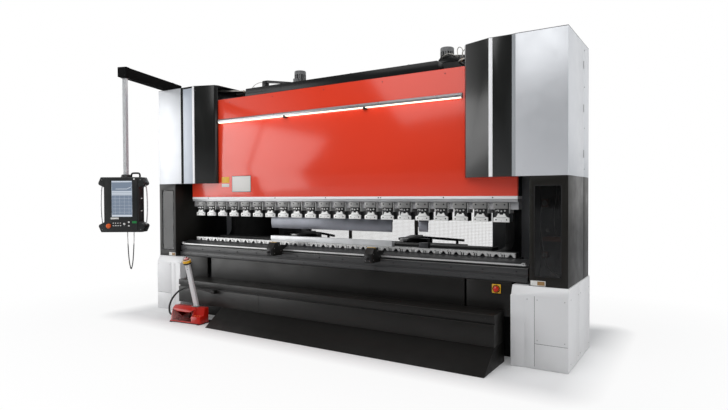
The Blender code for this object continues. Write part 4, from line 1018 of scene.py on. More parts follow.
def makeBedFront():
    facts = bedFront
    screws, small, lines, stops, ledge = (bmesh.new() for _ in range(5))
    start = -facts["count"] * facts["module"] / 2
    for index in range(facts["count"]):
        x = start + (index + 0.5) * facts["module"] + 0.064
        addScrew(small, (x, facts["railFront"], facts["railHigh"]), toFront, 0.0042, 0.0015)
    for x in evenly(*facts["beamScrews"]):
        addScrew(screws, (x, facts["beamFace"], facts["beamLine"]), toFront, 0.0075, 0.004)
        addScrew(screws, (x + 0.10, facts["beamFoot"], facts["footLine"]), toFront, 0.0055, 0.003)
    for x in facts["apronX"]:
        for z in facts["apronZ"]:
            addScrew(screws, (x, facts["apron"], z), toFront, 0.0055, 0.0028)
    left, right = facts["coverSpan"]
    cover = facts["cover"]
    for x in facts["seams"]:
        for low, high in facts["seamParts"]:
            addBlock(lines, (x - 0.0018, cover - 0.0006, low), (x + 0.0018, cover + 0.001, high))
        addBlock(lines, (x - 0.0018, cover + 0.004, 0.4596), (x + 0.0018, -0.2206, 0.4606))
    count, *heights = facts["coverScrews"]
    for index in range(count):
        x = left + 0.08 + index * (right - left - 0.16) / (count - 1)
        for z in heights:
            addScrew(small, (x, cover, z), toFront, 0.0045, 0.002)
    for side in (-1, 1):
        addBlock(stops, (side * 2.215, -0.192, 0.858), (side * 2.245, -0.160, 0.885))
        addScrew(screws, (side * 2.230, -0.192, 0.873), toFront, 0.005, 0.003)
    addBlock(ledge, (-2.268, -0.1912, 0.834), (2.268, -0.1500, 0.8375))
    x, z = facts["switch"]
    ring = bmesh.new()
    addTurned(ring, [(0.0285, 0.0), (0.0285, 0.003), (0.0345, 0.003), (0.0355, 0.0), (0.0285, 0.0)],
              towards((x, -0.2318, z), toFront), 28)
    marks = bmesh.new()
    away = facts["switchScrew"]
    for dz in (-away, away):
        for dx in (-away, away):
            addScrew(marks, (x + dx, -0.2320, z + dz), toFront, 0.0035, 0.0016)
    pointer = bmesh.new()
    addBlock(pointer, (x - 0.0016, -0.2632, z + 0.008), (x + 0.0016, -0.2615, z + 0.022))
    finishAll("frame", [
        ("bedScrews", screws, "screwDark", "frame_black"),
        ("bedSmallScrews", small, "screwDark", "frame_black"),
        ("bedSeams", lines, "frameBlack", "frame_black"),
        ("slideRailStops", stops, "brightSteel", "bright_steel", 0.001),
        ("frontBeamEdge", ledge, "capSteel", "bright_steel", 0.0006),
        ("mainSwitchRing", ring, "screwDark", "frame_black"),
        ("mainSwitchScrews", marks, "capSteel", "bright_steel"),
    ])
    finishPiece("mainSwitchPointer", pointer, "buttonWhite", "main_switch", bevel=0.0004)


makeBedFront()

carriages = {"left": -0.566, "right": 0.735, "half": 0.0475, "front": -0.360, "top": 0.957,
             "headFront": -0.316, "headBack": -0.237, "rests": 6,
             "sideScrews": ((-0.335, 0.84), (-0.225, 0.86), (-0.335, 0.895), (-0.260, 0.925))}


def makeCarriages():
    facts = carriages
    for name in ("left", "right"):
        x, half, top = facts[name], facts["half"], facts["top"]
        body = "carriage_" + name
        plate, marker, clamp, knob, screws, rests = (bmesh.new() for _ in range(6))
        addBlock(plate, (x - half + 0.003, facts["headFront"] + 0.002, top - 0.001),
                 (x + half - 0.003, facts["headBack"] - 0.002, top + 0.0022))
        addBlock(marker, (x - half + 0.001, -0.306, top + 0.0010),
                 (x + half - 0.001, -0.292, top + 0.0050))
        addBlock(clamp, (x - 0.034, facts["front"] - 0.012, 0.822),
                 (x + 0.034, facts["front"] + 0.002, 0.884))
        addTurned(knob, [(0.0, 0.026), (0.011, 0.026), (0.0145, 0.022), (0.0145, 0.012), (0.008, 0.010),
                         (0.008, 0.0), (0.0, 0.0)],
                  towards((x, facts["front"] - 0.012, 0.853), toFront), 12)
        for side in (-1, 1):
            for y, z in facts["sideScrews"]:
                addScrew(screws, (x + side * half, y, z), (side, 0.0, 0.0), 0.0050, 0.0022)
            addScrew(screws, (x + side * 0.026, facts["front"] - 0.012, 0.832), toFront, 0.004, 0.002)
        for index in range(facts["rests"]):
            middle = x - half + 0.008 + index * (2 * half - 0.016) / (facts["rests"] - 1)
            addBlock(rests, (middle - 0.003, -0.230, 0.905), (middle + 0.003, -0.150, 0.9215))
        finishAll(body, [
            (name + "CarriagePlate", plate, "capSteel", "bright_steel", 0.0008),
            (name + "CarriageMarker", marker, "plateYellow", "yellow", 0.0008),
            (name + "CarriageClamp", clamp, "holderBlack", "frame_black", 0.0015),
            (name + "CarriageKnob", knob, "rubberBlack", "rubber"),
            (name + "CarriageScrews", screws, "capSteel", "bright_steel"),
            (name + "CarriageRests", rests, "holderBlack", "frame_black", 0.0008),
        ])


makeCarriages()
print("bed front dressed")

# Cylinders, and the hydraulics on top
hydraulics = {"line": 1.925, "low": 2.150, "high": 2.700, "bore": 0.0615, "flange": 0.154,
              "flangeBolts": 10,
              "motor": (1.07, 0.83), "ribs": 16, "motorLow": 2.955, "motorHigh": 3.112, "motorBolts": 6}
tank = {"deck": 2.900, "half": 1.860, "lidY": (0.462, 1.188), "boltY": (0.480, 1.170),
        "bolts": (13, -1.80, 0.30),
        "caps": ((0.30, 0.90, 0.042, 0.055), (-0.35, 0.95, 0.030, 0.085), (0.62, 0.72, 0.055, 0.040)),
        "eyes": (1.62, 1.02),
        "cylinderPipe": ((1.925, 0.020, 2.690), (1.925, 0.020, 2.790), (1.905, 0.030, 2.838),
                         (1.840, 0.055, 2.853), (1.660, 0.130, 2.846), (1.500, 0.205, 2.8405),
                         (1.452, 0.262, 2.839), (1.440, 0.340, 2.838), (1.440, 0.455, 2.838)),
        "pumpPipes": ((1.365, 3.036, 0.030), (1.420, 3.000, 0.040)),
        "lowPipe": ((1.180, 0.460, 2.940), (1.190, 0.434, 2.960), (1.260, 0.430, 2.985),
                    (1.330, 0.434, 2.955), (1.340, 0.460, 2.935))}


def addRing(shape, matrix, radius, thick, sides=20):
    outline = [(radius + thick * math.cos(angle), thick * math.sin(angle))
               for angle in (math.tau * step / 8 for step in range(9))]
    addTurned(shape, outline, matrix, sides)


def makeCylinders():
    facts = hydraulics
    rings, bolts, wiper = bmesh.new(), bmesh.new(), bmesh.new()
    foot, head, bore, wide = facts["low"], facts["high"], facts["bore"], facts["flange"]
    count = facts["flangeBolts"]
    for side in (-1, 1):
        x = side * facts["line"]
        for low, high, inner in ((foot - 0.001, foot + 0.030, bore), (head - 0.040, head + 0.001, 0.0)):
            addTurned(rings,
                      [(inner, high), (wide - 0.002, high), (wide, high - 0.003), (wide, low + 0.003),
                       (wide - 0.002, low), (inner, low), (inner, high)],
                      Matrix.Translation((x, 0.0, 0.0)), 40)
        for step in range(count):
            angle = math.tau * (step + 0.5) / count
            dx, dy = 0.128 * math.cos(angle), 0.128 * math.sin(angle)
            addScrew(bolts, (x + dx, dy, head), toTop, 0.010, 0.010)
            addScrew(bolts, (x + dx, dy, foot), (0.0, 0.0, -1.0), 0.010, 0.008)
        addTurned(wiper, [(0.0612, 0.0), (0.074, 0.0), (0.078, 0.006), (0.078, 0.014), (0.0612, 0.014),
                          (0.0612, 0.0)],
                  Matrix.Translation((x, 0.0, foot - 0.012)), 36)
    finishAll("frame", [
        ("cylinderFlanges", rings, "frameBlack", "frame_black"),
        ("cylinderBolts", bolts, "screwDark", "frame_black"),
        ("rodWipers", wiper, "rubberBlack", "rubber"),
    ])


def makeMotors():
    facts = hydraulics
    ribs, cowls, slots, boxes, bolts = (bmesh.new() for _ in range(5))
    for side in (-1, 1):
        centre = Matrix.Translation((side * facts["motor"][0], facts["motor"][1], 0.0))
        for step in range(facts["ribs"]):
            turn = centre @ Matrix.Rotation(math.tau * step / facts["ribs"], 4, "Z")
            addBlock(ribs, (0.066, -0.0045, facts["motorLow"]), (0.0785, 0.0045, facts["motorHigh"]),
                     turn)
            addBlock(slots, (0.022, -0.0035, 3.1605), (0.058, 0.0035, 3.1628), turn)
        addTurned(cowls, [(0.0, 3.162), (0.070, 3.162), (0.0775, 3.155), (0.0785, 3.110), (0.0, 3.110)],
                  centre, 32)
        addTurned(cowls, [(0.0, 2.954), (0.083, 2.954), (0.085, 2.950), (0.085, 2.941), (0.0, 2.941)],
                  centre, 32)
        addBlock(boxes, (-0.032, -0.112, 2.985), (0.032, -0.070, 3.050), centre)
        addBlock(boxes, (-0.028, -0.116, 2.990), (0.028, -0.110, 3.045), centre)
        for dx, dz in ((-0.022, 2.996), (0.022, 2.996), (-0.022, 3.039), (0.022, 3.039)):
            addScrew(bolts, (dx, -0.116, dz), toFront, 0.003, 0.002, centre)
        for step in range(facts["motorBolts"]):
            angle = math.tau * step / facts["motorBolts"]
            addScrew(bolts, (0.079 * math.cos(angle), 0.079 * math.sin(angle), 2.954), toTop, 0.005,
                     0.004, centre)
    finishAll("frame", [
        ("motorRibs", ribs, "motorGrey", "cabinet_grey", 0.0012),
        ("motorCowls", cowls, "motorGrey", "cabinet_grey"),
        ("motorSlots", slots, "rubberBlack", "rubber"),
        ("motorBoxes", boxes, "motorGrey", "cabinet_grey", 0.002),
        ("motorBolts", bolts, "screwDark", "frame_black"),
    ])


def makeTank():
    lid, bolts, caps, eyes, glass, fittings = (bmesh.new() for _ in range(6))
    facts = tank
    deck, half = facts["deck"], facts["half"]
    addBlock(lid, (-half, facts["lidY"][0], deck - 0.001), (half, facts["lidY"][1], deck + 0.004))
    for x in evenly(*facts["bolts"]):
        for y in facts["boltY"]:
            if y > 1.0 or abs(abs(x) - 1.44) > 0.34:
                addScrew(bolts, (x, y, deck + 0.004), toTop, 0.0075, 0.006)
    for x, y, radius, high in facts["caps"]:
        addTurned(caps,
                  [(0.0, high), (radius * 0.85, high), (radius, high * 0.85), (radius, high * 0.35),
                   (radius * 0.8, high * 0.30), (radius * 0.8, 0.008), (radius * 1.2, 0.006),
                   (radius * 1.2, 0.0), (0.0, 0.0)], Matrix.Translation((x, y, deck + 0.004)), 24)
    across, y = facts["eyes"]
    for x in (-across, across):
        stand = Matrix.Translation((x, y, deck + 0.030)) @ Matrix.Rotation(math.radians(90), 4, "X")
        addRing(eyes, stand, 0.022, 0.0055)
        addTurned(eyes, [(0.0, 0.012), (0.012, 0.012), (0.017, 0.006), (0.017, 0.0), (0.0, 0.0)],
                  Matrix.Translation((x, y, deck + 0.003)), 16)
    addBlock(glass, (0.880, 1.199, 2.640), (0.915, 1.206, 2.800))
    for z in (2.632, 2.808):
        addScrew(bolts, (0.8975, 1.206, z), toRear, 0.007, 0.004)
    for side in (-1, 1):
        addTurned(fittings,
                  [(0.0, 0.034), (0.009, 0.034), (0.0135, 0.030), (0.0135, 0.010), (0.017, 0.008),
                   (0.017, -0.004), (0.0, -0.004)],
                  towards((side * 1.500, 0.205, 2.8405), (side * 0.55, 0.83, 0.0)), 6)
        addTurned(fittings,
                  [(0.0, 0.020), (0.013, 0.020), (0.016, 0.016), (0.016, -0.003), (0.0, -0.003)],
                  towards((side * 1.440, 0.450, 2.838), toFront), 6)
    finishAll("frame", [
        ("tankLid", lid, "topGrey", "frame_black", 0.0015),
        ("tankBolts", bolts, "screwDark", "frame_black"),
        ("tankCaps", caps, "motorGrey", "cabinet_grey"),
        ("tankEyes", eyes, "brightSteel", "bright_steel"),
        ("tankGlass", glass, "plateYellow", "yellow", 0.002),
        ("pipeFittings", fittings, "fittingBrass", "bright_steel"),
    ])
    long = [mirroredRoute(facts["cylinderPipe"], side) for side in (-1, 1)]
    thin = []
    for x, high, lean in facts["pumpPipes"]:
        thin.append(softRoute([(x, 0.460, 2.925), (x, 0.436, 2.945), (x - 0.006, 0.430, high - 0.030),
                               (x + lean * 0.6, 0.428, high), (x + lean * 1.7, 0.430, high - 0.030),
                               (x + lean * 1.8, 0.436, 2.935), (x + lean * 1.7, 0.460, 2.915)], 5))
    thin.append(mirroredRoute(facts["lowPipe"], 1))
    curvePiece("cylinderPipes", long, 0.022, "pipeSteel", "frame")
    curvePiece("pumpPipes", thin, 0.009, "pipeSteel", "frame")


makeCylinders()
makeMotors()
makeTank()
print("hydraulics dressed")

# Rear: doors, vents and handles
rearDoors = {
    "boxes": {"face": 1.500, "span": (1.462, 1.950), "rows": ((0.150, 1.170), (1.200, 2.250)),
              "slot": "cabinet_grey"},
    "covers": {"face": 0.654, "span": (2.010, 2.580), "rows": ((0.740, 1.740), (1.775, 2.840)),
               "slot": "cover_silver"},
    "thick": 0.0022, "vents": (9, 0.10, 0.022), "hingeIn": 0.12}


def makeRearDoors():
    for name, material in (("boxes", "motorGrey"), ("covers", "coverSilver")):
        facts = rearDoors[name]
        face = facts["face"]
        doors, vents, handles, hinges = (bmesh.new() for _ in range(4))
        for side in (-1, 1):
            inner, outer = facts["span"]
            for low, high in facts["rows"]:
                addBlock(doors, (side * inner, face - 0.001, low),
                         (side * outer, face + rearDoors["thick"], high))
                for down in evenly(*rearDoors["vents"]):
                    z = high - down
                    addProfile(vents,
                               [(face + 0.001, z), (face + 0.008, z - 0.010), (face + 0.008, z - 0.012),
                                (face + 0.001, z - 0.014)], "x",
                               tuple(sorted((side * (inner + 0.09), side * (outer - 0.09)))))
                middle = (low + high) / 2
                x = side * (inner + 0.035)
                addBlock(handles, (x - 0.014, face + 0.001, middle - 0.055),
                         (x + 0.014, face + 0.006, middle + 0.055))
                addProfile(handles, [(face + 0.004, middle - 0.040), (face + 0.024, middle - 0.032),
                                     (face + 0.024, middle + 0.032), (face + 0.004, middle + 0.040)],
                           "x",
                           (x - 0.006, x + 0.006))
                for z in (low + rearDoors["hingeIn"], high - rearDoors["hingeIn"]):
                    addRod(hinges, (side * outer, face + 0.004, z - 0.03),
                           (side * outer, face + 0.004, z + 0.03), 0.007, 12)
        title = name.capitalize()
        finishAll("frame", [
            ("rearDoors" + title, doors, material, facts["slot"], 0.0009),
            ("rearVents" + title, vents, material, facts["slot"]),
            ("rearHandles" + title, handles, "rubberBlack", "rubber", 0.0015),
            ("rearHinges" + title, hinges, "screwDark", "frame_black", 0.001),
        ])


makeRearDoors()

# Back gauge
gauge = {"half": 1.35, "front": 0.62, "back": 0.74, "low": 0.86, "high": 0.94, "rail": 1.05,
         "railHalf": 0.04,
         "fingers": {"left": -0.80, "right": 0.75}, "fingerLow": 0.9405,
         "slots": ((0.886, 0.898), (0.912, 0.924)), "screws": (14, -1.27, 0.1954), "screwLine": 0.905,
         "links": 28, "chain": (0.47, 0.83, 0.762), "link": Vector((0.0125, 0.014, 0.013)),
         "brackets": (0.56, 0.90, 1.22), "spindle": (0.940, 0.822), "spindleSpan": (0.165, 1.352),
         "mounts": ((0.150, 0.185), (1.335, 1.375)), "boltX": (-0.125, -0.085, 0.085, 0.125),
         "boltY": (0.652, 0.708)}


def makeGauge():
    facts = gauge
    shoes, chain, slots, screws, ends = (bmesh.new() for _ in range(5))
    for side in (-1, 1):
        for offset in (-1, 1):
            inner = side * facts["rail"] + offset * (facts["railHalf"] + 0.0025)
            outer = side * facts["rail"] + offset * (facts["railHalf"] + 0.018)
            addBlock(shoes, (inner, 0.595, 0.796), (outer, 0.765, 0.8595))
        addBlock(shoes, (side * 0.915, 0.640, 0.782), (side * 0.965, 0.720, 0.8605))
        addBlock(ends, (side * (facts["half"] + 0.004), facts["front"] + 0.004, facts["low"] + 0.003),
                 (side * (facts["half"] - 0.002), facts["back"] - 0.004, facts["high"] - 0.003))
    for low, high in facts["slots"]:
        addBlock(slots, (-facts["half"] + 0.02, facts["front"] - 0.0012, low),
                 (facts["half"] - 0.02, facts["front"] + 0.001, high))
    for x in evenly(*facts["screws"]):
        addScrew(screws, (x, facts["front"], facts["screwLine"]), toFront, 0.0045, 0.003)
    start, run, line = facts["chain"]
    for index in range(facts["links"]):
        share = (index + 0.5) / facts["links"]
        rise = 0.034 * math.sin(min(share * 2.4, 1.0) * math.pi * 0.5)
        z = 0.965 + rise - 0.030 * max(share - 0.3, 0.0)
        for side in (1, -1):
            place = Matrix.Translation((side * (start + share * run), line, z))
            addBlock(chain, -facts["link"], facts["link"], place)
    for side in (-1, 1):
        for x in facts["brackets"]:
            addBlock(chain, (side * (x - 0.010), 0.738, 0.925), (side * (x + 0.010), 0.770, 0.985))
    finishAll("gauge", [
        ("gaugeShoes", shoes, "rearSteel", "frame_black", 0.0015),
        ("gaugeChain", chain, "rubberBlack", "rubber", 0.0015),
        ("gaugeSlots", slots, "frameBlack", "frame_black"),
        ("gaugeScrews", screws, "brightSteel", "bright_steel"),
        ("gaugeEnds", ends, "holderBlack", "frame_black", 0.001),
    ])
    screwRods, mounts = bmesh.new(), bmesh.new()
    x, z = facts["spindle"]
    start, end = facts["spindleSpan"]
    for side in (-1, 1):
        addRod(screwRods, (side * x, start, z), (side * x, end, z), 0.0085, 18)
        for low, high in facts["mounts"]:
            addBlock(mounts, (side * 0.922, low, 0.798), (side * 1.0105, high, 0.846))
    finishAll("frame", [
        ("gaugeSpindles", screwRods, "brightSteel", "bright_steel"),
        ("gaugeMounts", mounts, "rearSteel", "frame_black", 0.0015),
    ])
    for name, place in facts["fingers"].items():
        tips, knobs, bolts = bmesh.new(), bmesh.new(), bmesh.new()
        low = facts["fingerLow"]
        addBlock(tips, (place - 0.045, 0.3585, low + 0.0385), (place + 0.045, 0.3660, low + 0.0615))
        addBlock(tips, (place - 0.048, 0.362, low + 0.0590), (place + 0.048, 0.420, low + 0.0640))
        addTurned(knobs, [(0.0, 0.024), (0.013, 0.024), (0.016, 0.020), (0.016, 0.008), (0.010, 0.006),
                          (0.010, -0.001), (0.0, -0.001)],
                  Matrix.Translation((place, 0.680, low + 0.085)), 14)
        for dx in facts["boltX"]:
            for y in facts["boltY"]:
                addScrew(bolts, (place + dx, y, low + 0.050), toTop, 0.0055, 0.004)
        body = "finger_" + name
        finishAll(body, [
            (name + "FingerTip", tips, "brightSteel", "bright_steel", 0.0008),
            (name + "FingerKnob", knobs, "rubberBlack", "rubber"),
            (name + "FingerBolts", bolts, "capSteel", "bright_steel"),
        ])


makeGauge()
print("rear dressed")

# Console: body, screen, keys, handles
consoleLook = {"middle": 1.3885, "deep": 0.160, "bezel": (-0.180, 0.192, 1.084, 1.706), "proud": 0.010,
               "screen": (-0.107, 0.133, 1.247, 1.669),
               "corner": ((0.241, 0.3235), (0.271, 0.255), (0.266, 0.235), (0.205, 0.205)),
               "bow": ((0.251, -0.247), (0.258, -0.235), (0.270, -0.150), (0.275, 0.0), (0.270, 0.150),
                       (0.258, 0.235), (0.251, 0.247)),
               "carry": ((0.090, 1.706), (0.090, 1.738), (0.098, 1.756), (0.118, 1.761), (0.162, 1.761),
                         (0.182, 1.756), (0.190, 1.738), (0.190, 1.706)),
               "roundKeys": ((0.038, 1.162, 0.0125), (0.092, 1.184, 0.0105), (0.092, 1.142, 0.0095),
                             (0.158, 1.688, 0.010)),
               "keyRows": ((1.168, 0.012), (1.138, 0.016)), "keys": (4, -0.098, 0.028),
               "vents": (8, -0.10, 0.026), "screwX": (-0.225, 0.225), "screwZ": (1.098, 1.680),
               "clipZ": (1.462, 1.315), "gridRows": (5, 1.300, 0.040), "gridColumns": (4, 0.040, 0.054),
               "stop": (-0.146, 1.140), "hub": 1.702, "hubScrews": (4, 0.044, 1.736),
               "fields": ((1.552, 1.648), (1.272, 1.498)), "bars": ((1.652, 1.664), (1.536, 1.545),
                                                                    (1.518, 1.525), (1.500, 1.507),
                                                                    (1.251, 1.266))}


def makeConsole():
    facts = consoleLook
    place = consoleMatrix()
    middle, front = facts["middle"], -facts["deep"] / 2
    outline = []
    for signX, signZ, back in ((1, 1, False), (1, -1, True), (-1, -1, False), (-1, 1, True)):
        corner = facts["corner"][::-1] if back else facts["corner"]
        outline += [(signX * x, middle + signZ * z) for x, z in corner]
    shell, bezel, rim, screws, backPlate, clips = (bmesh.new() for _ in range(6))
    addProfile(shell, outline, "y", (front, -front), place)
    x0, x1, z0, z1 = facts["bezel"]
    addBlock(bezel, (x0, front - facts["proud"], z0), (x1, front + 0.002, z1), place)
    face = front - facts["proud"]
    s0, s1, t0, t1 = facts["screen"]
    addBlock(rim, (s0 - 0.009, face - 0.0012, t0 - 0.009), (s1 + 0.009, face + 0.001, t1 + 0.009),
             place)
    addBlock(backPlate, (-0.150, -front - 0.001, middle - 0.17), (0.150, -front + 0.004, middle + 0.17),
             place)
    for up in evenly(*facts["vents"]):
        z = middle + up
        addBlock(backPlate, (-0.110, -front + 0.002, z), (0.110, -front + 0.007, z + 0.010), place)
    for x in facts["screwX"]:
        for z in facts["screwZ"]:
            addScrew(screws, (x, front, z), toFront, 0.0055, 0.002, place)
            addScrew(screws, (x, -front, z), toRear, 0.0055, 0.002, place)
    for z in facts["clipZ"]:
        addBlock(clips, (0.203, -0.016, z - 0.007), (0.213, 0.016, z + 0.007), place)
    finishAll("console", [
        ("consoleShell", shell, "consoleBlack", "cabinet_grey", 0.006),
        ("consoleBezel", bezel, "consoleBlack", "cabinet_grey", 0.004),
        ("consoleRim", rim, "bezelBlack", "dark_glass", 0.0005),
        ("consoleBack", backPlate, "holderBlack", "frame_black", 0.0015),
        ("consoleScrews", screws, "capSteel", "bright_steel"),
        ("consoleClips", clips, "buttonWhite", "white_strip", 0.001),
    ], "console_body")
    lit, fields, bars = bmesh.new(), bmesh.new(), bmesh.new()
    glassFace = face - 0.0012
    addBlock(lit, (s0, glassFace - 0.0006, t0), (s1, glassFace + 0.0003, t1), place)
    for low, high in facts["fields"]:
        addBlock(fields, (s0 + 0.006, glassFace - 0.0009, low), (s1 - 0.006, glassFace, high), place)
    for low, high in facts["bars"]:
        addBlock(bars, (s0 + 0.004, glassFace - 0.0012, low), (s1 - 0.004, glassFace, high), place)
    for z in evenly(*facts["gridRows"]):
        addBlock(bars, (s0 + 0.012, glassFace - 0.0012, z), (s1 - 0.012, glassFace, z + 0.0016), place)
    for away in evenly(*facts["gridColumns"]):
        x = s0 + away
        addBlock(bars, (x, glassFace - 0.0012, 1.276), (x + 0.0014, glassFace, 1.494), place)
    addProfile(bars, [(-0.060, 1.570), (0.075, 1.570), (0.120, 1.592), (0.120, 1.598), (0.074, 1.576),
                      (-0.060, 1.576)],
               "y", (glassFace - 0.0012, glassFace), place)
    finishAll("console", [
        ("consoleScreen", lit, "screenLight", "dark_glass"),
        ("consoleScreenFields", fields, "screenField", "dark_glass"),
        ("consoleScreenBars", bars, "screenBar", "white_strip"),
    ], "console_body")
    plates, white, orange, green, hub, collar = (bmesh.new() for _ in range(6))
    addBlock(plates, (-0.122, face - 0.0012, 1.219), (-0.026, face + 0.001, 1.239), place)
    for x, z, radius in facts["roundKeys"]:
        addTurned(white, [(0.0, 0.008), (radius * 0.8, 0.008), (radius, 0.006), (radius, -0.001),
                          (0.0, -0.001)],
                  place @ towards((x, face, z), toFront), 20)
    for z, wide in facts["keyRows"]:
        for x in evenly(*facts["keys"]):
            addBlock(white, (x, face - 0.003, z), (x + wide, face + 0.001, z + 0.010), place)
    addTurned(orange, [(0.0, 0.024), (0.012, 0.0235), (0.022, 0.020), (0.026, 0.014), (0.024, 0.010),
                       (0.014, 0.009), (0.014, 0.003), (0.029, 0.003), (0.029, -0.001), (0.0, -0.001)],
              place @ towards((facts["stop"][0], face, facts["stop"][1]), toFront), 24)
    addBlock(green, (0.130, face - 0.004, 1.170), (0.184, face + 0.001, 1.197), place)
    pole = polePlace()
    count, radius, high = facts["hubScrews"]
    addTurned(hub, [(0.0, 0.0425), (0.046, 0.0425), (0.050, 0.039), (0.060, 0.012), (0.060, -0.004),
                    (0.0, -0.004)],
              Matrix.Translation((pole.x, pole.y, facts["hub"])), 32)
    for step in range(count):
        angle = math.tau * (step + 0.5) / count
        addScrew(collar, (pole.x + radius * math.cos(angle), pole.y + radius * math.sin(angle), high),
                 toTop, 0.004, 0.006)
    finishAll("console", [
        ("consolePlate", plates, "plateWhite", "white_strip", 0.0005),
        ("consoleWhiteKeys", white, "buttonWhite", "white_strip", 0.0006),
        ("consoleStopButton", orange, "buttonOrange", "signal_red"),
        ("consoleGreenKey", green, "buttonGreen", "rubber", 0.001),
        ("consoleHub", hub, "consoleBlack", "cabinet_grey"),
        ("consoleHubScrews", collar, "screwDark", "frame_black"),
    ], "console_body")
    bows = [softRoute([place @ Vector((side * x, 0.0, middle + z)) for x, z in facts["bow"]], 6)
            for side in (-1, 1)]
    arch = softRoute([place @ Vector((x, 0.0, z)) for x, z in facts["carry"]], 5)
    for piece in (curvePiece("consoleBows", bows, 0.014, "poleSteel", "console"),
                  curvePiece("consoleCarryHandle", [arch], 0.021, "rubberBlack", "console")):
        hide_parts("console_body")


makeConsole()

arm = {"low": 2.893, "high": 3.005, "end": -0.990, "screwY": (-0.85, -0.55, -0.25),
       "capX": (-0.044, 0.044)}


def makeArm():
    facts = arm
    swing = Matrix.Rotation(math.radians(consolePole["turn"]), 4, "Z")
    place = Matrix.Translation((*consolePole["pivot"], 0.0)) @ swing
    capFace, screws, collar, cover = (bmesh.new() for _ in range(4))
    addBlock(capFace, (-0.054, facts["end"] - 0.0018, facts["low"] + 0.005),
             (0.054, facts["end"] + 0.001, facts["high"] - 0.001), place)
    for x in facts["capX"]:
        for z in (facts["low"] + 0.016, facts["high"] - 0.012):
            addScrew(screws, (x, facts["end"] - 0.0018, z), toFront, 0.004, 0.002, place)
    for y in facts["screwY"]:
        addScrew(screws, (0.0, y, facts["high"]), toTop, 0.006, 0.003, place)
    pole = -consolePole["reach"]
    addBlock(collar, (-0.034, pole - 0.034, facts["low"] - 0.012),
             (0.034, pole + 0.034, facts["low"] + 0.001), place)
    addTurned(cover, [(0.0, 0.010), (0.036, 0.010), (0.043, 0.006), (0.045, -0.001), (0.0, -0.001)],
              place @ Matrix.Translation((0.0, 0.0, facts["high"])), 28)
    finishAll("arm", [
        ("armCapFace", capFace, "armBlack", "cabinet_grey", 0.0008),
        ("armScrews", screws, "screwDark", "frame_black"),
        ("armPoleCollar", collar, "holderBlack", "frame_black", 0.002),
        ("armPivotCover", cover, "consoleBlack", "cabinet_grey"),
    ])


makeArm()
print("console made")

# Foot switch, its pedal, stand and stop button
footLook = {"left": -0.231, "right": 0.231, "deep": 0.120, "opening": (-0.206, 0.078), "lug": -0.124,
            "lugX": (-0.205, 0.205), "lampX": (0.130, 0.165, 0.200), "ribs": 7,
            "screws": ((-0.190, -0.012), (0.070, -0.012), (0.205, 0.010), (0.125, 0.010)),
            "boltX": (-0.040, 0.040), "boltY": (-0.026, 0.020), "clampZ": (0.690, 0.660),
            "stand": (0.080, -0.008), "standLow": 0.1853, "lean": 15.5, "standHigh": 0.730}


def standMatrix():
    facts = footLook
    hinge = Matrix.Translation((*facts["stand"], facts["standLow"]))
    turn = Matrix.Rotation(math.radians(facts["lean"]), 4, "X")
    return footMatrix() @ hinge @ turn @ Matrix.Translation((0.0, 0.0, -facts["standLow"]))


